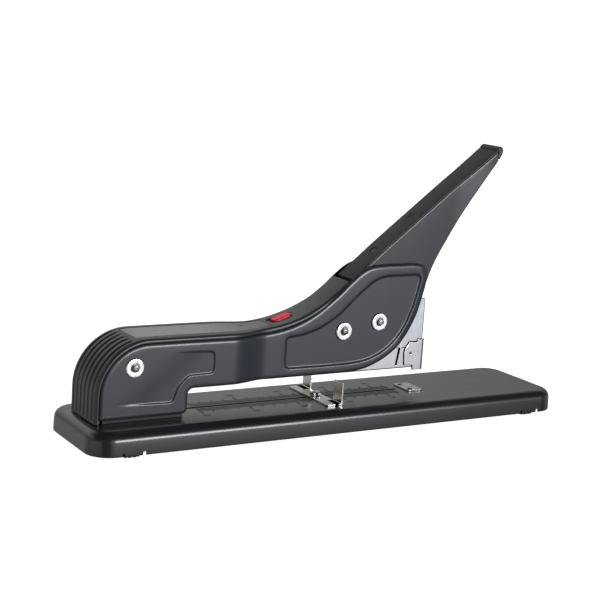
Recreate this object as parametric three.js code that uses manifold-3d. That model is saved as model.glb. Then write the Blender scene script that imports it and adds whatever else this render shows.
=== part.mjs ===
// Long-reach heavy-duty stapler.
// A pressed steel base carries a ruler deck, an anvil and a riser bracket. A long sheet-metal arm pivots on the
// riser, is held up by a coil spring and carries the staple magazine, the driver head and a lever handle.
// Units are millimetres, +Z up, +X towards the head, +Y to the left of someone facing +X.
// Everything is drawn in "body" coordinates, where X runs from the rear edge of the base and Z from the lower
// edge of its skirt, and one outer group moves that to the part's frame: origin under the middle of the base,
// on the surface that the feet stand on.
import * as THREE from 'three';
import { mergeVertices } from 'three/addons/utils/BufferGeometryUtils.js';
import Module from 'manifold-3d';

const wasm = await Module();
wasm.setup();

// ---------------------------------------------------------------- driving dimensions
const BASE_L = 500, BASE_W = 109, BASE_H = 20.6, BASE_T = 1.6;
const BASE_CORNER_R = 22, BASE_EDGE_R = 7.5;
const FOOT_DROP = 2.5;                       // how far the feet stand below the skirt
const SLOT_W = 4.4, SLOT_X0 = 98, SLOT_X1 = 338;
const PLATE_T = 1.5;                         // arm side plates
const ARM_REAR_HW = 27, ARM_FRONT_HW = 18.2; // outer half widths behind and ahead of the joggle
const JOG_X0 = 142, JOG_X1 = 181;
const ARM_TOP = 89.2, ARM_BOTTOM = 46.2, HEEL_BOTTOM = 23.7, THROAT_X = 99;
const COVER_RISE = 4.6;                      // arm cover above the plates' edge
const REAR_PIVOT = [46.5, 69.0];             // arm pivot on the riser, x z
const TIE = [262.6, 86.4];                   // tie pin, x z
const HANDLE_PIVOT = [301.7, 93.2];          // handle pivot, x z
const PIN_R = 4.0, WASHER_R = 8.7, WASHER_T = 1.7, STUD_R = 3.0, STUD_OUT = 4.2;
const HANDLE_HW = 13.2, HANDLE_ROOT_HW = 15.3, HANDLE_T = 1.6, HANDLE_COVER_T = 1.8;
const MAG_HW = 9.5, MAG_T = 1.2, MAG_BOTTOM = 43.9, MAG_TOP = 64;
const NOSE_BOTTOM = 42;
const HEAD_FRONT = 360, HEAD_TOP = 111.5, HEAD_SPLIT = 71.6;
const STAPLE_X = 356.5;                      // line on which the blade drives
const ANVIL_TOP = 22.3;                      // about 1.7 above the deck
const BUTTON_X = 203.6;
const LATCH = [214.5, 70];                   // pin that the release latch rocks on, x z
const LEVER_PIN = [349.6, 96.3];             // cross pin between the handle's lever and the hammer, x z
const GUIDE_X0 = 238, GUIDE_X1 = 255, GUIDE_HW = 35, GUIDE_EAR_Y = 20.5, GUIDE_EAR_H = 21.4;

// ---------------------------------------------------------------- materials
const mat = (color, roughness, metalness) => new THREE.MeshStandardMaterial({ color, roughness, metalness });
const PAINT = mat(0x3a3e44, 0.38, 0.35);
const BASE_PAINT = mat(0x2b2e31, 0.3, 0.3);
const PLASTIC = mat(0x25282a, 0.55, 0.0);
const CHROME = mat(0xd9d9dc, 0.14, 1.0);
const STEEL = mat(0x9a9da0, 0.35, 0.9);
const DARK_STEEL = mat(0x55585c, 0.45, 0.8);
const RED = mat(0xd81e1e, 0.35, 0.0);
const RUBBER = mat(0x111213, 0.9, 0.0);
const SPRING = mat(0xa8abae, 0.3, 1.0);

// ---------------------------------------------------------------- solids
function solid(geometry) {
  let g = geometry.index ? geometry.toNonIndexed() : geometry.clone();
  for (const key of Object.keys(g.attributes)) if (key !== 'position') g.deleteAttribute(key);
  g = mergeVertices(g, 1e-4);
  return new wasm.Manifold(new wasm.Mesh({
    numProp: 3, vertProperties: g.attributes.position.array, triVerts: new Uint32Array(g.index.array),
  }));
}
function geometryOf(s) {
  const m = s.getMesh(), n = m.numProp, v = new Float32Array(m.numVert * 3);
  for (let i = 0; i < m.numVert; i++) v.set(m.vertProperties.subarray(i * n, i * n + 3), i * 3);
  const g = new THREE.BufferGeometry();
  g.setAttribute('position', new THREE.BufferAttribute(v, 3));
  g.setIndex(new THREE.BufferAttribute(new Uint32Array(m.triVerts), 1));
  g.computeVertexNormals();
  return g;
}
const union = (...s) => s.reduce((a, b) => a.add(b));
const cut = (s, ...tools) => tools.reduce((a, b) => a.subtract(b), s);

const shapeOf = (pts, holes = []) => {
  const s = new THREE.Shape(pts.map((p) => new THREE.Vector2(p[0], p[1])));
  for (const h of holes) s.holes.push(new THREE.Path(h.map((p) => new THREE.Vector2(p[0], p[1]))));
  return s;
};
// outline in (x, z), from y0 to y1
function prismY(pts, y0, y1, holes) {
  const g = new THREE.ExtrudeGeometry(shapeOf(pts, holes), { depth: y1 - y0, bevelEnabled: false, curveSegments: 6 });
  g.rotateX(Math.PI / 2);
  g.translate(0, y1, 0);
  return solid(g);
}
// outline in (x, y), from z0 to z1
function prismZ(pts, z0, z1, holes) {
  const g = new THREE.ExtrudeGeometry(shapeOf(pts, holes), { depth: z1 - z0, bevelEnabled: false, curveSegments: 6 });
  g.translate(0, 0, z0);
  return solid(g);
}
// outline in (y, z), from x0 to x1
function prismX(pts, x0, x1) {
  const g = new THREE.ExtrudeGeometry(shapeOf(pts), { depth: x1 - x0, bevelEnabled: false, curveSegments: 6 });
  g.applyMatrix4(new THREE.Matrix4().makeBasis(
    new THREE.Vector3(0, 1, 0), new THREE.Vector3(0, 0, 1), new THREE.Vector3(1, 0, 0)));
  g.translate(x0, 0, 0);
  return solid(g);
}
function block(x0, x1, y0, y1, z0, z1) {
  const g = new THREE.BoxGeometry(x1 - x0, y1 - y0, z1 - z0);
  g.translate((x0 + x1) / 2, (y0 + y1) / 2, (z0 + z1) / 2);
  return solid(g);
}
function cylY(x, z, r, y0, y1, seg = 20) {
  const g = new THREE.CylinderGeometry(r, r, y1 - y0, seg);
  g.translate(x, (y0 + y1) / 2, z);
  return solid(g);
}
function cylZ(x, y, r, z0, z1, seg = 20, r1 = r) {
  const g = new THREE.CylinderGeometry(r1, r, z1 - z0, seg);
  g.rotateX(Math.PI / 2);
  g.translate(x, y, (z0 + z1) / 2);
  return solid(g);
}
function cylX(y, z, r, x0, x1, seg = 12) {
  const g = new THREE.CylinderGeometry(r, r, x1 - x0, seg);
  g.rotateZ(Math.PI / 2);
  g.translate((x0 + x1) / 2, y, z);
  return solid(g);
}
const arc = (cx, cy, r, a0, a1, n) => {
  const out = [];
  for (let i = 0; i <= n; i++) {
    const a = ((a0 + ((a1 - a0) * i) / n) * Math.PI) / 180;
    out.push([cx + r * Math.cos(a), cy + r * Math.sin(a)]);
  }
  return out;
};
const roundRect = (x0, x1, y0, y1, r, n = 4) => [
  ...arc(x1 - r, y1 - r, r, 0, 90, n), ...arc(x0 + r, y1 - r, r, 90, 180, n),
  ...arc(x0 + r, y0 + r, r, 180, 270, n), ...arc(x1 - r, y0 + r, r, 270, 360, n)];
const smooth = (pts, n) => new THREE.SplineCurve(pts.map((p) => new THREE.Vector2(p[0], p[1]))).getPoints(n).map((p) => [p.x, p.y]);
// an open polyline moved sideways by d, to its left where d is positive
function offset(pts, d) {
  return pts.map((p, i) => {
    const a = pts[Math.max(0, i - 1)], b = pts[Math.min(pts.length - 1, i + 1)];
    const tx = b[0] - a[0], ty = b[1] - a[1], l = Math.hypot(tx, ty) || 1;
    return [p[0] - (ty / l) * d, p[1] + (tx / l) * d];
  });
}
const step01 = (t) => { const u = Math.min(1, Math.max(0, t)); return u * u * (3 - 2 * u); };
// a helix about +Z as a chain of turned rings, made by sweeping a small polygon along a curve
function coil(radius, wire, turns, height, perTurn = 12, sides = 6) {
  const pts = [];
  const n = Math.round(turns * perTurn);
  for (let i = 0; i <= n; i++) {
    const a = (i / perTurn) * Math.PI * 2;
    pts.push(new THREE.Vector3(radius * Math.cos(a), radius * Math.sin(a), (height * i) / n));
  }
  const curve = new THREE.CatmullRomCurve3(pts);
  const section = new THREE.Shape(arc(0, 0, wire / 2, 0, 360 - 360 / sides, sides - 1).map((p) => new THREE.Vector2(p[0], p[1])));
  return new THREE.ExtrudeGeometry(section, { steps: n, bevelEnabled: false, extrudePath: curve });
}

const root = new THREE.Group();
const bodyFrame = new THREE.Group();
bodyFrame.position.set(-BASE_L / 2, 0, FOOT_DROP);
root.add(bodyFrame);
const groups = {};
for (const name of ['base', 'arm', 'handle', 'driver', 'drawer', 'follower', 'release', 'guide']) {
  groups[name] = new THREE.Group();
  bodyFrame.add(groups[name]);
}
function add(group, name, s, material) {
  const m = new THREE.Mesh(s.isBufferGeometry ? s : geometryOf(s), material);
  m.name = name;
  groups[group].add(m);
  return m;
}

// ================================================================ base
{
  // tray: a pressed pan, open underneath, with a rolled upper edge and tall rounded corners
  const pan = (inset, zTop, edgeR) => {
    const rings = [];
    const n = 4;
    rings.push([0, -1]);
    rings.push([0, zTop - edgeR]);
    for (let i = 1; i <= n; i++) {
      const a = (i / n) * Math.PI / 2;
      rings.push([edgeR * (1 - Math.cos(a)), zTop - edgeR + edgeR * Math.sin(a)]);
    }
    let s = null;
    for (let i = 0; i < rings.length - 1; i++) {
      const outline = (k) => {
        const d = inset + rings[k][0];
        return roundRect(d, BASE_L - d, -BASE_W / 2 + d, BASE_W / 2 - d, Math.max(2, BASE_CORNER_R - d), 6);
      };
      const lo = outline(i), hi = outline(i + 1), z0 = rings[i][1], z1 = rings[i + 1][1], m = lo.length;
      const pos = [];
      const tri = (a, b, c) => pos.push(...a, ...b, ...c);
      const L = lo.map((p) => [p[0], p[1], z0]), H = hi.map((p) => [p[0], p[1], z1]);
      for (let k = 0; k < m; k++) {
        const j = (k + 1) % m;
        tri(L[k], L[j], H[j]); tri(L[k], H[j], H[k]);
      }
      for (let k = 1; k < m - 1; k++) { tri(L[0], L[k + 1], L[k]); tri(H[0], H[k], H[k + 1]); }
      const g = new THREE.BufferGeometry();
      g.setAttribute('position', new THREE.Float32BufferAttribute(pos, 3));
      const layer = solid(g);
      s = s ? s.add(layer) : layer;
    }
    return s;
  };
  const tray = cut(
    pan(0, BASE_H, BASE_EDGE_R),
    pan(BASE_T, BASE_H - BASE_T, BASE_EDGE_R - BASE_T),
    block(-5, BASE_L + 5, -60, 60, -5, 0),
    prismZ(roundRect(SLOT_X0, SLOT_X1, -SLOT_W / 2, SLOT_W / 2, SLOT_W / 2 - 0.01, 3), 10, 30),
    // holes for the riser bolts and the anvil screws
    ...[[30, -13], [30, 13], [78, -14.5], [78, 14.5]].map((p) => cylZ(p[0], p[1], 3.2, 10, 30, 12)),
    ...[-8.5, 8.5].map((y) => cylZ(STAPLE_X - 7.4, y, 1.7, 10, 30, 8)),
    // small relief notches in the skirt beside each foot
    ...[27.5, 46.5, 455, 474].flatMap((x) => [
      block(x - 1.6, x + 1.6, -60, -50, -1, 3.6), block(x - 1.6, x + 1.6, 50, 60, -1, 3.6)]),
  );
  add('base', 'base_tray', tray, BASE_PAINT);

  // stiffener: a flat steel bar under the deck that carries the load from the riser to the anvil
  const zS1 = BASE_H - BASE_T - 0.35, zS0 = zS1 - 3;
  const bar = cut(
    prismZ(roundRect(18, 402, -33, 33, 6, 3), zS0, zS1),
    prismZ(roundRect(SLOT_X0 - 2, SLOT_X1 + 2, -6.2, 6.2, 4, 3), zS0 - 2, zS1 + 2),
    ...[[30, -13], [30, 13], [78, -14.5], [78, 14.5]].map((p) => cylZ(p[0], p[1], 3.2, 10, 30, 12)),
    ...[-8.5, 8.5].map((y) => cylZ(STAPLE_X - 7.4, y, 1.7, 10, 30, 8)),
  );
  add('base', 'stiffener_bar', bar, DARK_STEEL);

  // riser bracket: a U of thick sheet bolted to the deck, whose ears carry the arm's pivot pin
  const zR0 = BASE_H + 0.35;
  const ear = [[20, zR0], [96, zR0], [88, 38], [66, 74], ...arc(REAR_PIVOT[0], REAR_PIVOT[1], 12, 40, 150, 6), [30, 60], [20, 36]];
  const uSection = [[-23.6, zR0], [23.6, zR0], [23.6, 90], [21, 90], [21, zR0 + 2.6], [-21, zR0 + 2.6], [-21, 90], [-23.6, 90]];
  const riser = cut(
    prismX(uSection, 18, 100).intersect(prismY(ear, -30, 30)),
    cylY(REAR_PIVOT[0], REAR_PIVOT[1], PIN_R + 0.35, -40, 40, 20),
    ...[[30, -13], [30, 13], [78, -14.5], [78, 14.5]].map((p) => cylZ(p[0], p[1], 3.2, 10, 30, 12)),
  );
  add('base', 'riser_bracket', riser, DARK_STEEL);

  [[30, -13], [30, 13], [78, -14.5], [78, 14.5]].forEach((p, i) => {
    const head = cylZ(p[0], p[1], 5, zR0 + 2.95, zR0 + 6.2, 6);
    const shank = cylZ(p[0], p[1], 2.85, 9.8, zR0 + 3.2, 12);
    const nut = cylZ(p[0], p[1], 5, 10.4, 15.3, 6);
    add('base', `riser_bolt_${i + 1}`, union(head, shank, nut), STEEL);
  });

  // anvil: a hardened block with two clinching grooves across the base
  const anvil = cut(
    prismZ(roundRect(STAPLE_X - 12, STAPLE_X + 5, -13, 13, 1.5, 2), BASE_H + 0.32, ANVIL_TOP),
    block(STAPLE_X - 1.1, STAPLE_X + 1.1, -7.4, -0.9, ANVIL_TOP - 0.6, ANVIL_TOP + 2),
    block(STAPLE_X - 1.1, STAPLE_X + 1.1, 0.9, 7.4, ANVIL_TOP - 0.6, ANVIL_TOP + 2),
    ...[-8.5, 8.5].map((y) => cylZ(STAPLE_X - 7.4, y, 1.7, 10, 30, 8)),
  );
  add('base', 'anvil', anvil, CHROME);
  [-8.5, 8.5].forEach((y, i) => {
    const head = cylZ(STAPLE_X - 7.4, y, 2.5, ANVIL_TOP + 0.3, ANVIL_TOP + 1.1, 12, 2.0);
    const shank = cylZ(STAPLE_X - 7.4, y, 1.4, 11.5, ANVIL_TOP + 0.5, 8);
    const slot = block(STAPLE_X - 10.5, STAPLE_X - 4.3, y - 0.35, y + 0.35, ANVIL_TOP + 0.7, ANVIL_TOP + 3);
    const nut = cylZ(STAPLE_X - 7.4, y, 3, 12, 15.3, 6);
    add('base', `anvil_screw_${i + 1}`, cut(union(head, shank, nut), slot), STEEL);
  });

  // feet: moulded rubber blocks pushed into the corners of the pan
  const feet = [['foot_rear_right', 37, -41.5], ['foot_rear_left', 37, 41.5], ['foot_front_right', 464.5, -41.5], ['foot_front_left', 464.5, 41.5]];
  for (const [name, x, y] of feet) {
    const pad = prismZ(roundRect(x - 7.8, x + 7.8, y - 9.5, y + 9.5, 3.5, 3), -FOOT_DROP, 12.2);
    const stem = cylZ(x, y, 4, 12, 15.2, 10);
    add('base', name, union(pad, stem), RUBBER);
  }

  // lift spring: holds the arm up
  const lift = coil(5.6, 1.7, 5.5, 24.4, 9, 5);
  lift.translate(82.5, 0, BASE_H + 4.15);
  add('base', 'lift_spring', solid(lift), SPRING);
}

// ================================================================ arm
const halfWidth = (x) => ARM_REAR_HW + (ARM_FRONT_HW - ARM_REAR_HW) * step01((x - JOG_X0) / (JOG_X1 - JOG_X0));
// upper edge of the side plates, from the rear foot of the heel, over the shoulder and up to the handle's root
const plateTop = [
  [15.3, HEEL_BOTTOM], ...arc(60.5, 44, 45.2, 180, 90, 12), [90, ARM_TOP], [120, 89.0], [150, 88.7],
  ...smooth([[160, 88.6], [171.4, 88.9], [191.1, 90.7], [210.9, 95.5], [230.6, 104.6], [243.6, 113.6], [256.7, 123.9], [267.8, 133.7], [280.4, 142.9]], 22),
];
const plateFront = [
  ...smooth([[280.4, 142.9], [285.5, 145.4], [291.5, 146.8], [301, 147.6], [311.6, 147.9], [326, 147.9], [341, 147.6], [348.6, 145.6], [353.6, 141.8], [355.3, 137.6],
    [354.3, 130], [350.4, 113.8], [345.9, 99], [339.6, 85.6], [330.5, 72.6], [319.5, 62.9], [302.8, 53.4], [285.9, 48.0], [267.4, 46.3]], 44).slice(1),
];
const plateLower = [
  [235, ARM_BOTTOM], [170, ARM_BOTTOM], ...arc(THROAT_X + 5.5, ARM_BOTTOM - 5.5, 5.5, 90, 180, 4),
  ...arc(THROAT_X - 5, HEEL_BOTTOM + 5, 5, 0, -90, 4),
];
const plateOutline = [...plateTop, ...plateFront, ...plateLower];
{
  const strip = (outer, t) => {
    const xs = [5, 60, JOG_X0 - 8];
    for (let i = 0; i <= 8; i++) xs.push(JOG_X0 + ((JOG_X1 - JOG_X0) * i) / 8);
    xs.push(230, 290, 365);
    return [...xs.map((x) => [x, halfWidth(x) - outer]), ...xs.slice().reverse().map((x) => [x, halfWidth(x) - outer - t])];
  };
  const holes = [[...REAR_PIVOT], [...TIE], [...HANDLE_PIVOT]].map((p) => cylY(p[0], p[1], PIN_R + 0.32, -40, 40, 20));
  // shallow pressed panel in each plate, as on the rear heel and along the head
  const rearPanel = smoothPanel([[30, 36], [80, 36], [88, 45], [98, 57.5], [116, 60], [122.5, 66], [122, 76], [114, 79], [70, 80.5], [52, 82], [38, 74], [28, 60], [26, 42]]);
  const headPanel = smoothPanel([[203.4, 84.5], [199.5, 76], [200, 64.5], [206, 56], [235, 55.4], [272, 56.2], [291, 59], [309, 66.4], [325.8, 80.5], [335.8, 101.9], [343.6, 125.1], [344, 133.8], [336, 136.9], [313, 137.1], [297, 135], [282.5, 126.6], [262.8, 109.4], [242.9, 96], [219, 87.9]]);
  function smoothPanel(pts) {
    const c = new THREE.CatmullRomCurve3(pts.map((p) => new THREE.Vector3(p[0], p[1], 0)), true, 'centripetal');
    return c.getPoints(34).slice(0, -1).map((p) => [p.x, p.y]);
  }
  const right = cut(
    prismY(plateOutline, -40, -5).intersect(prismZ(strip(0, PLATE_T).map((p) => [p[0], -p[1]]).reverse(), 0, 200)),
    ...holes,
    prismY(rearPanel, -40, -ARM_REAR_HW + 0.5), prismY(headPanel, -40, -ARM_FRONT_HW + 0.5),
  );
  const left = cut(
    prismY(plateOutline, 5, 40).intersect(prismZ(strip(0, PLATE_T), 0, 200)),
    ...holes,
    prismY(rearPanel, ARM_REAR_HW - 0.5, 40), prismY(headPanel, ARM_FRONT_HW - 0.5, 40),
  );
  add('arm', 'side_plate_right', right, PAINT);
  add('arm', 'side_plate_left', left, PAINT);

  // arm cover: one moulding from the heel, over the shoulder, to the handle's root
  const outer = [
    [11, BASE_H + 0.9], [11, 32], ...arc(61, 44, 50, 180, 90, 14), [90, 94.0], [120, 93.9], [150, 93.7],
    ...smooth([[160, 93.7], [180, 94.6], [200, 97.9], [220, 104.0], [240, 113.8], [255, 124.4], [267.3, 134.6]], 16),
  ];
  const edge = plateTop.filter((p) => p[0] < 266).map((p) => [...p]);
  edge[0] = [15.3, BASE_H + 0.9];
  const over = offset(edge, 0.35).map((p, i) => (i === 0 ? [14.95, BASE_H + 0.9] : p));
  const inside = offset(edge, -4.2).map((p, i) => (i === 0 ? [19.5, BASE_H + 0.9] : p));
  const shellIn = offset(outer, -2.6).map((p, i) => (i === 0 ? [13.6, BASE_H - 3] : p)).map((p, i, all) => (i === all.length - 1 ? [p[0] + 8, p[1] + 7] : p));
  const plan = (f) => {
    const xs = [0, 60, 134, 142, 147, 152, 157, 162, 167, 172, 177, 181, 200, 215, 225, 235, 242, 250, 262, 285];
    return [...xs.map((x) => [x, f(x)]), ...xs.slice().reverse().map((x) => [x, -f(x)])].reverse();
  };
  const outerHW = (x) => (x < 200 ? halfWidth(x) + 0.5 : 18.7 - 2.5 * step01((x - 205) / 46));
  const innerHW = (x) => halfWidth(x) - PLATE_T - 0.35;
  const cap = prismY([...outer, ...over.slice().reverse()].reverse(), -40, 40).intersect(prismZ(plan(outerHW), -10, 200));
  const tongue = prismY([...outer, ...inside.slice().reverse()].reverse(), -40, 40).intersect(prismZ(plan((x) => Math.min(innerHW(x), outerHW(x))), -10, 200));
  const hollow = prismY([...shellIn, [292, 100], [292, 10], [13.6, 10]].reverse(), -40, 40).intersect(prismZ(plan((x) => innerHW(x) - 2.2), -10, 200));
  // button well: a finger scoop in the cover with a rounded hole through it for the release button
  const slope = Math.atan2(104.0 - 97.9, 20);
  const wellZ = 99.0;
  const tilted = (s) => s.rotate([0, (-slope * 180) / Math.PI, 0]).translate([BUTTON_X, 0, wellZ]);
  const scoop = tilted(prismZ(roundRect(-15, 15, -7.6, 7.6, 5, 3), -0.6, 12));
  const hole = tilted(prismZ(roundRect(-10.6, 10.7, -5.4, 5.4, 2.9, 3), -14, 12));
  add('arm', 'arm_cover', cut(union(cap, tongue), hollow, scoop, hole), PLASTIC);

  // pins with their end studs, and the disc washers they are riveted over
  const pins = [
    ['rear_pivot', REAR_PIVOT, ARM_REAR_HW], ['tie', TIE, ARM_FRONT_HW], ['handle_pivot', HANDLE_PIVOT, ARM_FRONT_HW]];
  for (const [name, [x, z], hw] of pins) {
    const seat = hw - (name === 'rear_pivot' ? 0.5 : 0.5);
    const pin = union(cylY(x, z, PIN_R, -seat - 0.6, seat + 0.6, 20), cylY(x, z, STUD_R, -seat - STUD_OUT, seat + STUD_OUT, 6));
    add('arm', `${name}_pin`, pin, STEEL);
    for (const [side, s] of [['right', -1], ['left', 1]]) {
      const y0 = seat + 0.95, y1 = y0 + WASHER_T;
      const disc = cut(
        s < 0 ? cylY(x, z, WASHER_R, -y1, -y0, 24) : cylY(x, z, WASHER_R, y0, y1, 24),
        cylY(x, z, STUD_R + 0.32, -40, 40, 6));
      add('arm', `${name}_washer_${side}`, disc, CHROME);
    }
  }
  // spacer sleeve on the tie pin, and the bush that the handle turns on
  add('arm', 'tie_sleeve', cut(cylY(TIE[0], TIE[1], 6.2, -16.3, 16.3, 18), cylY(TIE[0], TIE[1], PIN_R + 0.32, -20, 20, 18)), STEEL);
  add('arm', 'handle_bush', cut(cylY(HANDLE_PIVOT[0], HANDLE_PIVOT[1], 5.4, -16.3, 16.3, 20), cylY(HANDLE_PIVOT[0], HANDLE_PIVOT[1], PIN_R + 0.32, -20, 20, 20)), STEEL);

  // spring seat: a cross plate between the side plates above the lift spring
  const seatPlate = union(
    block(75, 96, -18, 18, 50.4, 52.6), block(90, 96, -25.15, 25.15, 50.4, 52.6),
    cylZ(82.5, 0, 3.6, 45.4, 50.6, 12));
  add('arm', 'spring_seat', seatPlate, DARK_STEEL);

  // magazine channel: a bright U of sheet, open on top, that the staple rail runs in
  const sec = [[-MAG_HW, MAG_BOTTOM], [MAG_HW, MAG_BOTTOM], [MAG_HW, MAG_TOP], [MAG_HW - MAG_T, MAG_TOP], [MAG_HW - MAG_T, MAG_BOTTOM + MAG_T],
    [-MAG_HW + MAG_T, MAG_BOTTOM + MAG_T], [-MAG_HW + MAG_T, MAG_TOP], [-MAG_HW, MAG_TOP]];
  const channel = cut(
    prismX(sec, 184, 351.5),
    prismY([[332.2, 46.5], [334.6, 46.5], [337.4, 66], [334.9, 66]], -30, 30),
    block(346, 362, -7, 7, MAG_BOTTOM - 2, MAG_BOTTOM + 3),
  );
  add('arm', 'magazine_channel', channel, CHROME);

  // head housing: the bright box that guides the driver, open below and behind
  const housing = cut(
    prismZ(roundRect(338, HEAD_FRONT, -MAG_HW, MAG_HW, 1.6, 3), HEAD_SPLIT - 1.8, HEAD_TOP),
    block(335, HEAD_FRONT - 1.3, -MAG_HW + 1.3, MAG_HW - 1.3, 60, 130),
    block(352.9, 365, -30, 30, 60, HEAD_SPLIT + 0.6),
    block(335, 347, -MAG_HW + 1.3, MAG_HW - 1.3, 60, 130),
    prismY([[335, 112], [335, 101], [341, 101], [350, 112]], -30, 30),
  );
  add('arm', 'head_housing', housing, CHROME);
  // carrier: the cross piece that fixes the magazine and the housing between the side plates
  const carrier = union(
    block(268, 285, -16.3, -MAG_HW - 0.35, 60, 70), block(268, 285, MAG_HW + 0.35, 16.3, 60, 70), block(268, 285, -16.3, 16.3, 67.2, 70));
  add('arm', 'magazine_carrier', carrier, DARK_STEEL);

  // handle spring: a torsion coil on the bush
  const t = coil(7.4, 1.5, 4.2, 8.4, 10, 5);
  t.rotateX(Math.PI / 2);
  t.translate(HANDLE_PIVOT[0], 4.2, HANDLE_PIVOT[1]);
  add('arm', 'handle_spring', solid(t), SPRING);

  // pin that the release latch rocks on
  add('arm', 'latch_pin', cylY(LATCH[0], LATCH[1], 2, -16.3, 16.3, 12), STEEL);
  // cross tab under the release button, with a hole for its stem and a spring standing round that
  add('arm', 'button_spring_seat', cut(block(198, 209.2, -16.3, 16.3, 84.2, 85.6), cylZ(BUTTON_X, 0, 2.6, 80, 90, 12)), DARK_STEEL);
  const bs = coil(3.1, 0.8, 4, 7.0, 8, 4);
  bs.translate(BUTTON_X, 0, 86.35);
  add('arm', 'button_spring', solid(bs), SPRING);
}

// ================================================================ handle
const handleTop = [
  ...smooth([[270.6, 134.6], [280, 142.3], [290, 150.6], [300, 158.9], [320, 174.7], [340, 190.3], [360, 205.9], [380, 221.2], [400, 236.2], [415, 247.4], [426.5, 256.0]], 16)];
const handleUnder = [
  ...smooth([[430.9, 247.9], [420, 233.6], [409.7, 219.7], [389.7, 191.4], [376.6, 170.6], [363.8, 148.5], [359.6, 139.4], [355.6, 128], [350.5, 115]], 14)];
const handleHW = (x) => (x < 300 ? HANDLE_ROOT_HW - (HANDLE_ROOT_HW - HANDLE_HW) * step01((x - 272) / 26) : HANDLE_HW + 1.2 * step01((x - 385) / 45));
{
  const planH = (inset) => {
    const xs = [262, 272, 278, 284, 290, 296, 302, 340, 385, 396, 407, 418, 430, 445];
    return [...xs.map((x) => [x, handleHW(x) - inset]), ...xs.slice().reverse().map((x) => [x, -handleHW(x) + inset])].reverse();
  };
  const below = (d) => offset(handleTop, -d);
  const lower = [[346, 104], [336, 92], [320, 82.5], ...arc(HANDLE_PIVOT[0], HANDLE_PIVOT[1], 12, -60, -170, 6), [283, 103], [276, 117], [271.8, 128]];
  const outline = [...below(HANDLE_COVER_T + 0.32), [428.9, 251.2], ...handleUnder.slice(1), ...lower];
  const webUnder = below(HANDLE_COVER_T + 0.32 + HANDLE_T);
  const inner = [[262, 118], ...webUnder.slice(1, -1), [424.4, 249.6], [440, 240], [440, 60], [262, 60]];
  const channel = cut(
    prismY(outline.slice().reverse(), -30, 30).intersect(prismZ(planH(0), 0, 300)),
    prismY(inner.slice().reverse(), -30, 30).intersect(prismZ(planH(HANDLE_T), 0, 300)),
    cylY(HANDLE_PIVOT[0], HANDLE_PIVOT[1], 5.75, -40, 40, 20),
  );
  add('handle', 'handle_channel', channel, PAINT);
  const coverPts = [...handleTop, ...below(HANDLE_COVER_T).slice().reverse()];
  const screwAt = [[300.5, 159.3], [340.6, 190.8]];
  const slopeH = Math.atan2(190.3 - 158.9, 40);
  const at = (s, p) => s.rotate([0, (-slopeH * 180) / Math.PI, 0]).translate([p[0], 0, p[1]]);
  const cover = cut(
    prismY(coverPts.slice().reverse(), -30, 30).intersect(prismZ(planH(0.9), 0, 300)),
    ...screwAt.map((p) => at(cylZ(0, 0, 3.3, -10, 10, 14), p)));
  add('handle', 'handle_cover', cover, PLASTIC);
  screwAt.forEach((p, i) => {
    const head = at(cylZ(0, 0, 2.9, -1.75, -0.6, 14), p);
    add('handle', `cover_screw_${i + 1}`, cut(head, at(block(-2, 2, -0.4, 0.4, -1.1, 1), p), at(block(-0.4, 0.4, -2, 2, -1.1, 1), p)), DARK_STEEL);
  });
  // end cap: closes the grip's open end
  const tip = prismY([[427.1, 256.6], [430.6, 259.3], [433.2, 259.0], [434.6, 255.8], [433.6, 251.4], [430.4, 246.4], [428.8, 247.4], [429.8, 251.4]].reverse(), -30, 30)
    .intersect(prismZ(planH(0.2), 0, 300));
  add('handle', 'grip_end_cap', tip, PLASTIC);
}

// ================================================================ driver: the handle's lever, the cross pin, the hammer and its blade
{
  const [px, pz] = LEVER_PIN, [hx, hz] = HANDLE_PIVOT;
  const side = [...arc(hx, hz, 9.6, 75, 285, 10), [330, 86.6], ...arc(px, pz, 3.9, -80, 80, 5), [336, 102], [322, 105]];
  const lever = cut(
    union(prismY(side, -7.7, -5.7), prismY(side, 5.7, 7.7), block(316, 326, -7.7, 7.7, 99.6, 101.6)),
    cylY(hx, hz, 5.75, -20, 20, 20), cylY(px, pz, 2.6, -20, 20, 12));
  add('handle', 'driver_lever', lever, STEEL);
  add('handle', 'lever_pin', cylY(px, pz, 2.3, -7.6, 7.6, 14), STEEL);
  // hammer: forked behind for the pin, stepped in front for the blade
  const hammer = cut(
    union(block(354.4, 358.2, -7.75, 7.75, 90.2, 102.5), block(344.0, 354.6, -5.3, 5.3, 90.2, 102.5)),
    block(340, 352.6, -6, 6, pz - 2.9, pz + 2.9),
    block(355.3, 362, -6.9, 6.9, 80, 97.5));
  add('driver', 'hammer_block', hammer, STEEL);
  add('driver', 'driver_blade', block(355.6, 357.4, -6.4, 6.4, 64.2, 97.1), STEEL);
}

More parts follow.
